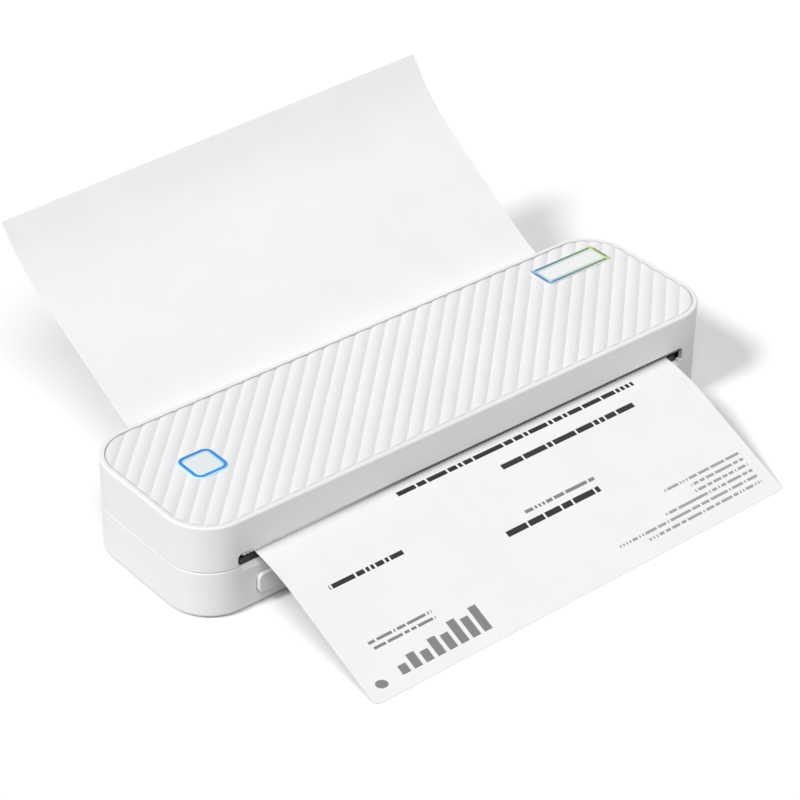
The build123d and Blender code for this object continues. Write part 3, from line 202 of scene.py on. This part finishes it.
label_half = (0.035, 0.015)
film_grey = (0.70, 0.70, 0.71)
plate_film, shader, place = finish("plate_film", film_grey, 0.34)
inset = place.vector("ABSOLUTE").vector("SUBTRACT", (*label_half, 0))
edge_line = inset.axis("X").larger(inset.axis("Y")).between(-0.0017, -0.0014)
edge_line.blend(film_grey, (0.32, 0.32, 0.33)).into(shader, "Base Color")
(0.30 + place.noise(900.0) * 0.12).into(shader, "Roughness")
place.noise(2200.0).relief(0.000004).into(shader, "Normal")
dress(plate_film, "bottom_label")


def turned(name, colour, roughness, stretch, depth=0.000003):
    """Worked metal: fine marks drawn out along the axes where stretch is small."""
    material, shader, place = finish(name, colour, roughness, Metallic=1.0)
    marks = place.vector("MULTIPLY", stretch).noise(1.0, 3.0)
    stains = place.noise(60.0)
    shade = tuple(0.82 * part for part in colour)
    (marks * 0.6 + stains * 0.4).blend(shade, colour).into(shader, "Base Color")
    (roughness + (marks - 0.5) * 0.22 + (stains - 0.5) * 0.12).into(shader, "Roughness")
    marks.relief(depth).into(shader, "Normal")
    return material


screw_steel = turned("screw_steel", (0.17, 0.17, 0.18), 0.38, (2600, 2600, 400))
dress(screw_steel, "case_screws", "bracket_screws", "cover_screws")

# ---- Hinge pins, axle and pivots ----------------------------------------------------------
# Ground steel pins: two pressed into the ears of the casing for the cover's lugs, the gears'
# axle, and the two that the print head rocks on.
pin_steel = turned("pin_steel", (0.60, 0.60, 0.61), 0.24, (300, 4000, 4000))
dress(pin_steel, "hinge_pins", "gear_axle", "head_pivots")

# ---- Paper guides and chassis -------------------------------------------------------------
# Black glass-filled plastic: the chassis plate under the sheet, the strip at the exit and
# the carrier in the cover, polished to fine lines where the paper slides on them.
guide_plastic, shader, place = finish("guide_plastic", (0.022, 0.022, 0.024), 0.46)
polish = place.vector("MULTIPLY", (2600, 60, 60)).noise(1.0)
fibres = place.noise(1500.0, 4.0)
polish.blend((0.019, 0.019, 0.021), (0.036, 0.036, 0.039)).into(shader, "Base Color")
(0.34 + polish * 0.22 + fibres * 0.12).into(shader, "Roughness")
(fibres * 0.7 + polish * 0.3).relief(0.000014).into(shader, "Normal")
dress(guide_plastic, "lower_guide", "exit_guide", "platen_carrier")

# ---- Brackets and motor -------------------------------------------------------------------
# Zinc-plated steel plates, blanked and folded, that hold the print head and the gears; the
# stepper motor's drawn can is riveted to the left one.
plated_sheet, shader, place = finish("plated_sheet", (0.56, 0.57, 0.58), 0.36, Metallic=1.0)
spangle = place.node("TexVoronoi", {}, {"Vector": place, "Scale": 330.0}, 1)
tone = spangle.vector("DOT_PRODUCT", (0.5, 0.3, 0.2), 1)
tone.blend((0.50, 0.51, 0.52), (0.64, 0.645, 0.65)).into(shader, "Base Color")
(0.30 + tone * 0.16).into(shader, "Roughness")
place.noise(1200.0).relief(0.000004).into(shader, "Normal")
dress(plated_sheet, "gear_bracket", "head_bracket")

motor_can = turned("motor_can", (0.48, 0.48, 0.49), 0.30, (1200, 260, 260), 0.000004)
dress(motor_can, "stepper_motor")

# ---- Gear train ---------------------------------------------------------------------------
# Spur gears moulded in natural acetal, waxy and a little translucent, driven by a brass
# pinion on the motor's shaft.
acetal = moulded(
    "acetal", (0.80, 0.79, 0.75), 0.30, 0.0003, 0.000004, Subsurface_Weight=0.15,
    Subsurface_Scale=0.001,
)
dress(acetal, "platen_gear", "compound_gear", "platen_bushings")

pinion_brass = turned("pinion_brass", (0.72, 0.54, 0.25), 0.26, (300, 3500, 3500))
dress(pinion_brass, "motor_pinion")

# ---- Print head ---------------------------------------------------------------------------
# A glazed ceramic strip with a dark heater line and gold leads towards its driver chips
# under black resin, bonded to an extruded aluminium heat sink.
heater_y = -0.026
leads_pitch = 0.0005
resin_front = -0.0228
strip_ceramic, shader, place = finish("strip_ceramic", (0.62, 0.58, 0.52), 0.14, Coat_Weight=0.4)
across_strip = place.axis("Y")
leads = (place.axis("X") / leads_pitch).fraction() < 0.5
gold = leads * across_strip.between(heater_y + 0.0006, resin_front)
body_tone = place.noise(260.0).blend((0.56, 0.52, 0.46), (0.66, 0.62, 0.56))
leaded = gold.blend(body_tone, (0.62, 0.42, 0.14))
heater = abs(across_strip - heater_y) < 0.0003
lined = heater.blend(leaded, (0.05, 0.035, 0.03))
resin = across_strip > resin_front
resin.blend(lined, (0.012, 0.012, 0.013)).into(shader, "Base Color")
(0.12 + resin * 0.18 + gold * 0.1).into(shader, "Roughness")
dress(strip_ceramic, "head_ceramic")

drawn_aluminium = turned("drawn_aluminium", (0.70, 0.71, 0.72), 0.33, (40, 2600, 2600))
dress(drawn_aluminium, "head_heatsink")

# Flat flexible cable from the head to its socket: amber film over copper conductors.
conductor_pitch = 0.001
flat_cable, shader, place = finish("flat_cable", (0.55, 0.30, 0.07), 0.28, Coat_Weight=0.3)
conductor = (place.axis("X") / conductor_pitch).fraction().between(0.22, 0.72)
conductor.blend((0.50, 0.27, 0.06), (0.66, 0.40, 0.13)).into(shader, "Base Color")
conductor.relief(0.00003).into(shader, "Normal")
dress(flat_cable, "head_cable")

# Springs wound from music wire: four press the head against the roller, and two behind the
# latch bar push the release button out. They are wound evenly and cut off plain.
wire_steel = turned("wire_steel", (0.42, 0.42, 0.43), 0.28, (900, 900, 900))


def placed(name, mesh, *materials):
    """Ends a bmesh: turns it into an object of the scene that wears these materials."""
    data = bpy.data.meshes.new(name)
    mesh.to_mesh(data)
    mesh.free()
    for material in materials:
        data.materials.append(material)
    made = bpy.data.objects.new(name, data)
    bpy.context.scene.collection.objects.link(made)
    return made


def coil_spring(name, centre, axis, radius, length, wire, turns):
    """A coil of round wire from centre, along axis, made by a screw of the wire's section."""
    wire_sides = 8
    steps_per_turn = 20
    mesh = bmesh.new()
    ring = bmesh.ops.create_circle(mesh, cap_ends=False, radius=wire / 2, segments=wire_sides)
    side = axis.orthogonal().normalized()
    turn = Matrix((side, axis, side.cross(axis))).transposed().to_4x4()
    place = Matrix.Translation(centre + side * (radius - wire / 2) + axis * (wire / 2))
    bmesh.ops.transform(mesh, matrix=place @ turn, verts=ring["verts"])
    steps = steps_per_turn * turns
    rise = axis * ((length - wire) / steps)
    bmesh.ops.spin(
        mesh, geom=mesh.verts[:] + mesh.edges[:], cent=centre, axis=axis, dvec=rise,
        angle=2 * pi * turns, steps=steps, use_merge=False, use_duplicate=False,
    )
    open_ends = [e for e in mesh.edges if e.is_boundary]
    bmesh.ops.holes_fill(mesh, edges=open_ends, sides=wire_sides)
    bmesh.ops.recalc_face_normals(mesh, faces=mesh.faces)
    for face in mesh.faces:
        face.smooth = True
    spring = placed(name, mesh, wire_steel)
    return spring


head_spring_radius = 0.0025
head_spring_pitch = 0.04
low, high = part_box("head_springs")
for index in range(4):
    x = low.x + head_spring_radius + head_spring_pitch * index
    spring = coil_spring(
        f"head_spring_{index + 1}", centre=Vector((x, (low.y + high.y) / 2, low.z)),
        axis=Vector((0, 0, 1)), radius=head_spring_radius, length=high.z - low.z, wire=0.0005,
        turns=7,
    )
    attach(spring, "base")
    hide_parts("head_springs")
    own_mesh(spring)

# ---- Release latch ------------------------------------------------------------------------
# A dark acetal bar behind the front wall, moulded with a hook at each end. The button pushes
# it back against its two springs.
latch_plastic = moulded("latch_plastic", (0.10, 0.10, 0.105), 0.38, 0.0004, 0.000006)
dress(latch_plastic, "latch_bar")

latch_spring_radius = 0.002
latch_spring_pitch = 0.1
low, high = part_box("latch_springs")
for index in range(2):
    x = low.x + latch_spring_radius + latch_spring_pitch * index
    spring = coil_spring(
        f"latch_spring_{index + 1}", centre=Vector((x, high.y, (low.z + high.z) / 2)),
        axis=Vector((0, -1, 0)), radius=latch_spring_radius, length=high.y - low.y, wire=0.0004,
        turns=6,
    )
    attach(spring, "base")
    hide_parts("latch_springs")
    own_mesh(spring)

# ---- Battery ------------------------------------------------------------------------------
# Two cells end to end, each a plated steel can shrunk into a blue sleeve that leaves its ends
# bare. They lie in a moulded black tray.
facing_ends = 0.0016
outer_ends = 0.0649
sleeve, shader, place = finish("sleeve", (0.03, 0.11, 0.36), 0.24, Coat_Weight=0.3)
along = abs(place.axis("X"))
bare_end = (along < facing_ends) + (along > outer_ends)
crease = place.vector("MULTIPLY", (30, 500, 500)).noise(1.0)
crease.blend((0.025, 0.10, 0.33), (0.04, 0.14, 0.42)).into(shader, "Base Color")
crease.relief(0.00002).into(shader, "Normal")
bare_end.smaller(1.0).into(shader, "Metallic")
dress(sleeve, "battery_cells")
tray_plastic = moulded("tray_plastic", (0.03, 0.03, 0.032), 0.45, 0.0004, 0.000008)
dress(tray_plastic, "battery_cradle")

# ---- Circuit boards -----------------------------------------------------------------------
# Fibreglass boards under green solder mask, with copper lanes that show as raised lines, and
# the parts soldered to them in black moulded packages.
lane_pitch = 0.0009
lane_stretch = 0.007
board_mask, shader, place = finish("board_mask", (0.010, 0.11, 0.045), 0.22, Coat_Weight=0.5)


def lanes(along, beside):
    """Copper lanes of one direction, broken off at random in each stretch of board."""
    row = beside / lane_pitch
    cell = row.node("CombineXYZ", {}, {0: (along / lane_stretch).floor(), 1: row.floor()})
    kept = row.node("TexWhiteNoise", {"noise_dimensions": "3D"}, {0: cell}) > 0.45
    return kept * (row.fraction() < 0.42)


copper = lanes(place.axis("X"), place.axis("Y"))
crossing = lanes(place.axis("Y"), place.axis("X")) * (place.noise(55.0) > 0.55)
traces = copper.larger(crossing)
via = place.node("TexVoronoi", {}, {"Vector": place, "Scale": 240.0}, 0) < 0.11
greens = traces.blend((0.008, 0.10, 0.040), (0.022, 0.19, 0.085))
via.blend(greens, (0.60, 0.52, 0.30)).into(shader, "Base Color")
traces.relief(0.00003).into(shader, "Normal")
dress(board_mask, "main_board", "button_board")

package_black = moulded("package_black", (0.030, 0.030, 0.032), 0.42, 0.00025, 0.000006)
dress(package_black, "board_parts", "paper_sensor", "cover_switch", "button_switch")

socket_metal = turned("socket_metal", (0.62, 0.62, 0.63), 0.28, (500, 2200, 2200))
dress(socket_metal, "usb_socket")

# ---- Platen -------------------------------------------------------------------------------
# A ground silicone roller bonded to a steel shaft, which turns in two bushings in the cover;
# it presses the sheet on the head.
roller_rubber, shader, place = finish("roller_rubber", (0.035, 0.035, 0.038), 0.62)
ground = place.vector("MULTIPLY", (5200, 700, 700)).noise(1.0)
ground.blend((0.028, 0.028, 0.030), (0.052, 0.052, 0.056)).into(shader, "Base Color")
(0.54 + ground * 0.18).into(shader, "Roughness")
ground.relief(0.00001).into(shader, "Normal")
dress(roller_rubber, "platen_rubber")
shaft_steel = turned("shaft_steel", (0.62, 0.62, 0.63), 0.20, (3800, 400, 400), 0.000002)
dress(shaft_steel, "platen_shaft")

# ---- Tear bar -----------------------------------------------------------------------------
# A strip of blued steel with a saw-toothed lip, behind the cover's front wall. A painted
# reflection makes it bright towards the left end, and painted shade makes it dark along the top
# edge.
painted_shade_band = 0.0007
bar_steel, shader, place = finish("bar_steel", (0.24, 0.24, 0.25), 0.32, Metallic=1.0)
grind = place.vector("MULTIPLY", (30, 3000, 3000)).noise(1.0, 3.0)
# Painted reflection: the bar is drawn bright towards its left end.
painted_reflection_end = place.axis("X").ease(-0.020, -0.085)
blued = grind.blend((0.09, 0.09, 0.10), (0.15, 0.15, 0.16))
blued_with_painted_reflection = painted_reflection_end.blend(blued, (0.66, 0.66, 0.67))
# Painted shade: a dark band along the bar's top edge, in the gap under the front wall.
painted_shade_top = place.axis("Z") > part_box("tear_bar")[1].z - painted_shade_band
painted_shade_top.blend(blued_with_painted_reflection, (0.02, 0.02, 0.022)).into(shader, "Base Color")
(0.24 + grind * 0.18).into(shader, "Roughness")
grind.relief(0.000003).into(shader, "Normal")
dress(bar_steel, "tear_bar")

# ---- Power button and its light ------------------------------------------------------------
# A satin cap inside a blue light guide: the guide glows, brightest along its two edges, and
# its light is painted onto the rim of the cap and of the panel beside it.
button_centre = (-0.101, 0.0005, 0.0)
ring_half = 0.0078
ring_corner = 0.0038
ring_width = 0.0019
painted_glow_colour = (0.50, 0.80, 1.0)


def outwards(place, centre, half_x, half_y, corner):
    """The distance outwards from a round-cornered outline, over the top of the printer."""
    offset = place.vector("SUBTRACT", centre).vector("MULTIPLY", (1, 1, 0))
    offset = offset.vector("ABSOLUTE")
    offset = offset.vector("SUBTRACT", (half_x - corner, half_y - corner, 0))
    return offset.vector("MAXIMUM").length() - corner


def from_ring(place):
    """The distance outwards from the ring's outer edge."""
    return outwards(place, button_centre, ring_half, ring_half, ring_corner)


light_guide, shader, place = finish(
    "light_guide", (0.03, 0.17, 0.45), 0.22, Emission_Strength=0.22,
)
middle = abs(from_ring(place) + ring_width / 2) / (ring_width / 2)
bright = middle.ease(0.55, 0.95)
rear_side = (place.axis("Y") - button_centre[1]).ease(0.0045, 0.0070)
core = rear_side.blend((0.030, 0.185, 0.46), (0.030, 0.145, 0.33))
bright.blend(core, (0.42, 0.70, 0.90)).into(shader, "Base Color")
bright.blend((0.02, 0.12, 0.40), (0.45, 0.75, 1.0)).into(shader, "Emission Color")
dress(light_guide, "light_ring")

cap_white = (0.72, 0.76, 0.78)
cap_plastic, shader, place = finish("cap_plastic", cap_white, 0.30)
# Painted light: the cap's rim next to the ring is tinted pale blue in its colour.
painted_glow_mask = (from_ring(place) + ring_width).ease(-0.0011, -0.0001)
(painted_glow_mask * 0.75).blend(cap_white, painted_glow_colour).into(shader, "Base Color")
(0.26 + place.noise(1600.0) * 0.10).into(shader, "Roughness")
place.noise(2400.0).relief(0.000004).into(shader, "Normal")
dress(cap_plastic, "power_button")

# ---- Ribbed top panel ---------------------------------------------------------------------
# A separate white moulding let into the cover, with slanting ribs and a finer grain. Shade is
# painted into its colour in the foot of each rib and around its edge.
panel_white = (0.812, 0.812, 0.826)
rib_pitch = 0.008
rib_offset = 0.004
rib_slant = radians(44.2)
panel_corner = 0.0169
panel_plastic, shader, place = finish("panel_plastic", panel_white, 0.44)
drift = place.noise(16.0)
plain = drift.ease(0.3, 0.7).blend((0.795, 0.795, 0.810), panel_white)
across_ribs = (place.axis("X") - place.axis("Y") / tan(rib_slant) - rib_offset) / rib_pitch
rise = across_ribs.fraction()
# Painted shade in the foot of each rib.
painted_rib_shade = rise.ease(0.55, 1.0) * 0.14 + rise.ease(0.93, 1.0) * 0.34
plain = painted_rib_shade.blend(plain, (0.45, 0.45, 0.47))
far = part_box("top_panel")[1]
# Painted shade around the panel's edge, in the gap to the rim.
painted_border_shade = outwards(place, (0, 0, 0), far.x, far.y, panel_corner).ease(-0.00080, -0.00030)
plain = (painted_border_shade * 0.75).blend(plain, (0.40, 0.40, 0.42))
# Painted light: the panel next to the ring is tinted pale blue in its colour.
painted_glow_mask = 1.0 - from_ring(place).ease(0.0, 0.0014)
(painted_glow_mask * 0.5).blend(plain, painted_glow_colour).into(shader, "Base Color")
pits = place.noise(2600.0, 3.0)
(0.38 + pits * 0.12).into(shader, "Roughness")
pits.relief(0.000008).into(shader, "Normal")
dress(panel_plastic, "top_panel")

# ---- Badge plate --------------------------------------------------------------------------
# A bare glossy plate, screen printed with a narrow frame that runs from blue to green.
badge_centre = (0.1038, 0.021, 0.0)
badge_half = (0.0175, 0.0064, 0.0)
frame_outside = -0.00050
frame_inside = -0.00150
frame_blur = 0.00022
badge_face, shader, place = finish("badge_face", (0.84, 0.86, 0.86), 0.20, Coat_Weight=0.3)
local = place.vector("SUBTRACT", badge_centre)
share = local.axis("X") / (2 * badge_half[0]) + 0.5
spread = share.node(
    "ValToRGB",
    {"stops": [
        (0.0, (0.09, 0.32, 0.64)), (0.22, (0.08, 0.42, 0.62)), (0.48, (0.14, 0.38, 0.36)),
        (0.75, (0.24, 0.46, 0.14)), (1.0, (0.42, 0.58, 0.10)),
    ]},
    {0: share},
)
depth = local.vector("ABSOLUTE").vector("SUBTRACT", badge_half)
inward = depth.axis("X").larger(depth.axis("Y"))
face_up = place.axis("Z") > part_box("badge_plate")[1].z - 0.00005
band = inward.ease(-0.0034, -0.0012) * face_up
line = inward.ease(frame_inside, frame_inside + frame_blur)
line = line * inward.ease(frame_outside, frame_outside - frame_blur) * face_up
corner = depth.axis("X").smaller(depth.axis("Y")).ease(-0.0030, -0.0018)
deep = (share.ease(0.0, 0.25) * 0.12 + 0.74).blend(spread, (0.004, 0.030, 0.055))
face = (band * 0.80).blend((0.80, 0.82, 0.82), spread)
(line * (1.0 - corner * 0.85)).blend(face, deep).into(shader, "Base Color")
(0.18 + place.noise(1400.0) * 0.08).into(shader, "Roughness")
dress(badge_face, "badge_plate")

# ---- Sheet of thermal paper ---------------------------------------------------------------
# A smooth coated sheet that runs from behind, under the roller and out at the front, where it
# rests on the desk. The part that has passed the head is printed with plain greyed-out bars.
sheet_size = (0.210, 0.2600)
sheet_thickness = 0.00012
runs = [
    (-0.1086, 0.00012), (-0.044201, 0.0253), (0.01575, 0.0253),
    (0.050421, 0.039168), (0.113148, 0.076177), (0.127, 0.0928),
]
bends = [0.080, 0.060, 0.130, 0.070]
grid_pitch = 0.0075
cross_cuts = 27
alike = 1e-5

mesh = bmesh.new()
line = [mesh.verts.new((-sheet_size[0] / 2, y, z)) for y, z in runs]
strip = [mesh.edges.new(pair) for pair in zip(line, line[1:])]
swept = bmesh.ops.extrude_edge_only(mesh, edges=strip)["geom"]
moved = [v for v in swept if isinstance(v, bmesh.types.BMVert)]
bmesh.ops.translate(mesh, verts=moved, vec=(sheet_size[0], 0, 0))
for (y, z), radius in zip(runs[1:-1], bends):
    fold = next(
        e for e in mesh.edges
        if all(abs(v.co.y - y) < alike and abs(v.co.z - z) < alike for v in e.verts)
    )
    before, after = [f.calc_center_median() for f in fold.link_faces]
    middle = (fold.verts[0].co + fold.verts[1].co) / 2
    turn = (middle - before).angle(after - middle)
    bmesh.ops.bevel(
        mesh, geom=[fold], offset=radius * tan(turn / 2), offset_type="OFFSET", segments=14,
        profile=0.5, affect="EDGES", material=-1,
    )


def lengthways(edge):
    return abs(edge.verts[0].co.x - edge.verts[1].co.x) < alike


for shortest, longest in ((0.012, 0.03), (0.03, 0.06), (0.06, 0.2)):
    long_edges = [
        e for e in mesh.edges if lengthways(e) and shortest < e.calc_length() <= longest
    ]
    if long_edges:
        bmesh.ops.subdivide_edges(
            mesh, edges=long_edges, cuts=int(longest / grid_pitch), use_grid_fill=True,
        )
cross_edges = [e for e in mesh.edges if not lengthways(e)]
bmesh.ops.subdivide_edges(mesh, edges=cross_edges, cuts=cross_cuts, use_grid_fill=True)

profile = sorted({(round(v.co.y, 7), round(v.co.z, 7)) for v in mesh.verts})
travel = {profile[0][0]: 0.0}
for (y0, z0), (y1, z1) in zip(profile, profile[1:]):
    travel[y1] = travel[y0] + Vector((y1 - y0, z1 - z0)).length
uv = mesh.loops.layers.uv.new("sheet")
for face in mesh.faces:
    for loop in face.loops:
        place = loop.vert.co
        loop[uv].uv = (place.x / sheet_size[0] + 0.5, travel[round(place.y, 7)] / sheet_size[1])

# Beyond the slot the sheet has drifted to the left and lies askew; behind, its end is twisted.
slot_y = -0.040
front_run = 0.0686
drift_left = 0.0018
askew = 0.0010
inlet_y = 0.045
rear_run = 0.082
twist = 0.0041
lift = 0.0002
for vert in mesh.verts:
    x, y = vert.co.x / (sheet_size[0] / 2), vert.co.y
    ahead = min(max((slot_y - y) / front_run, 0.0), 1.0)
    behind = min(max((y - inlet_y) / rear_run, 0.0), 1.0)
    vert.co.x -= ahead * drift_left
    vert.co.y += ahead * askew * x
    vert.co.z += behind ** 1.6 * (twist * x + lift)
corners = [v for v in mesh.verts if len(v.link_edges) == 2 and v.co.y < 0]
for corner, reach in zip(sorted(corners, key=lambda v: v.co.x), (0.0034, 0.0015)):
    bmesh.ops.bevel(
        mesh, geom=[corner], offset=reach, offset_type="OFFSET", segments=4, profile=0.5,
        affect="VERTICES", material=-1,
    )
bmesh.ops.recalc_face_normals(mesh, faces=mesh.faces)
for face in mesh.faces:
    face.smooth = True
for edge in mesh.edges:
    edge.smooth = not edge.is_boundary

coated_paper, shader, place = finish(
    "coated_paper", (0.86, 0.86, 0.862), 0.42, Specular_IOR_Level=0.3,
)
spot = Field(place.socket.node.outputs["UV"])
across = (spot.axis("X") - 0.5) * (1000 * sheet_size[0])
down = spot.axis("Y") * (1000 * sheet_size[1])


def bar(left, right, front, back):
    """A solid bar of print, in millimetres from the sheet's middle and its front edge."""
    return across.between(left, right) * down.between(front, back)


def bars(left, right, front, pitch, rows, height, cell, gaps, seed):
    """Rows of bars of uneven length: a share of the cells ends in a gap of 0.9 mm."""
    row = (down - front) / pitch
    column = across / cell
    cell_place = {0: column.floor(), 1: row.floor(), 2: seed}
    chance = row.node("TexWhiteNoise", {}, {0: row.node("CombineXYZ", {}, cell_place)})
    gap = (chance < gaps) * (column.fraction() > 1.0 - 0.9 / cell)
    line = row.fraction() < height / pitch
    return bar(left, right, front, front + pitch * rows) * line * (1.0 - gap)


# Four headings in black.
black = bars(-41, 82, 70.6, 4.0, 1, 2.2, 2.6, 0.45, seed=1.0)
for heading in (
    bars(4, 74, 61.0, 4.0, 1, 2.5, 3.1, 0.42, seed=2.0),
    bars(-14, 34, 34.6, 4.0, 1, 2.6, 2.9, 0.40, seed=3.0),
    bars(-91, -56, 47.5, 4.0, 1, 2.0, 2.3, 0.40, seed=4.0),
):
    black = black.larger(heading)

# Smaller rows in grey, then a block of six rows that end together at the right.
grey = bars(-1, 35, 40.1, 3.0, 1, 1.5, 2.0, 0.42, seed=5.0)
grey = grey.larger(bars(-92, -62, 19.0, 2.7, 2, 1.2, 1.6, 0.42, seed=7.0))
block_front = 6.7
block_pitch = 3.05
block_right = 99
block_lefts = (37, 23, 51, 69, 70, 57)
block = bars(min(block_lefts), block_right, block_front, block_pitch, 6, 1.2, 1.7, 0.45, seed=6.0)
for index, left in enumerate(block_lefts):
    front = block_front + block_pitch * index
    grey = grey.larger(block * bar(left, block_right, front, front + block_pitch) * 0.8)

# An oval dot in the corner, and a row of eight upright bars beside it.
aside, ahead = across + 97.5, down - 6.3
oval = {0: aside * 0.31 - ahead * 0.24, 1: aside * 0.26 + ahead * 0.50, 2: 0.0}
grey = grey.larger(spot.node("CombineXYZ", {}, oval).length() < 1.0)
upright_front = 5.5
upright_width = 3.8
upright_pitch = 5.6
for index, height in enumerate((4.0, 6.5, 5.0, 8.0, 7.0, 10.5, 9.0, 11.5)):
    left = -88.0 + upright_pitch * index
    upright = bar(left, left + upright_width, upright_front, upright_front + height)
    grey = grey.larger(upright)

# The ink lies in the coating, so it's on the upper side only.
fibres = place.noise(1900.0, 3.0)
cloud = place.noise(45.0)
blank = cloud.ease(0.3, 0.7).blend((0.848, 0.848, 0.852), (0.866, 0.866, 0.868))
coated_side = Field(place.socket.node.outputs["Normal"]).axis("Z") > 0.0
faded = coated_side * grey * (0.90 + fibres * 0.1)
solid = coated_side * black * (0.98 + fibres * 0.02)
light_print = faded.blend(blank, (0.19, 0.19, 0.20))
solid.blend(light_print, (0.012, 0.012, 0.014)).into(shader, "Base Color")
(0.36 + fibres * 0.14).into(shader, "Roughness")
fibres.relief(0.000004).into(shader, "Normal")

sheet = placed("thermal_sheet", mesh, coated_paper)
skin = sheet.modifiers.new("thickness", "SOLIDIFY")
skin.thickness = sheet_thickness
skin.offset = 0.0
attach(sheet, "base")
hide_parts("paper_sheet")

# ---- Desk, light and camera ---------------------------------------------------------------
# A plain white desk in an even white studio: a key from the left, a broad fill from the front
# and weak lamps behind and beside it. The desk and the backdrop look white, but light the
# printer less than they would.
desk_half = 8.0
desk_glow = (0.50, 0.50, 0.50)
world_glow = 0.14
white = (1.0, 1.0, 1.0)


def seen(tree):
    """1 for rays that show a surface to the camera, in a reflection or through glass."""
    path = tree.nodes.new("ShaderNodeLightPath").outputs
    direct = Field(path["Is Camera Ray"])
    return (direct + Field(path["Is Glossy Ray"]) + Field(path["Is Transmission Ray"])) > 0.5


desk_paint, shader, place = finish("desk_paint", desk_glow, 0.9, Specular_IOR_Level=0.0)
seen(desk_paint.node_tree).blend(desk_glow, white).into(shader, "Base Color")
mesh = bmesh.new()
bmesh.ops.create_grid(mesh, x_segments=1, y_segments=1, size=desk_half)
desk = placed("desk", mesh, desk_paint)

world = bpy.data.worlds.new("studio")
bpy.context.scene.world = world
world.use_nodes = True
tree = world.node_tree
glow_light = tree.nodes["Background"]
backdrop = tree.nodes.new("ShaderNodeBackground")
for background, strength in ((glow_light, world_glow), (backdrop, 1.0)):
    background.inputs["Color"].default_value = (*white, 1.0)
    background.inputs["Strength"].default_value = strength
choice = tree.nodes.new("ShaderNodeMixShader")
tree.links.new(seen(tree).socket, choice.inputs[0])
tree.links.new(glow_light.outputs[0], choice.inputs[1])
tree.links.new(backdrop.outputs[0], choice.inputs[2])
tree.links.new(choice.outputs[0], tree.nodes["World Output"].inputs["Surface"])

for name, towards, strength, spread in (
    ("key", (-0.70, 0.02, 0.71), 1.76, 12),
    ("fill", (-0.30, -0.55, 0.78), 1.62, 35),
    ("back", (0.10, 0.70, 0.71), 0.36, 30),
    ("side", (-0.90, 0.35, 0.25), 0.38, 40),
):
    lamp = bpy.data.lights.new(name, "SUN")
    lamp.energy = strength
    lamp.angle = radians(spread)
    light = bpy.data.objects.new(name, lamp)
    light.rotation_euler = Vector(towards).to_track_quat("Z", "Y").to_euler()
    bpy.context.scene.collection.objects.link(light)

camera = bpy.data.cameras.new("camera")
camera.sensor_width = 36.0
camera.lens = 123.24
camera.clip_end = 20.0
eye = bpy.data.objects.new("camera", camera)
eye.location = (-0.58241, -0.68199, 0.63546)
eye.rotation_euler = (radians(55.8974), radians(-0.9729), radians(-39.5565))
bpy.context.scene.collection.objects.link(eye)
bpy.context.scene.camera = eye
bpy.context.scene.view_settings.view_transform = "Standard"
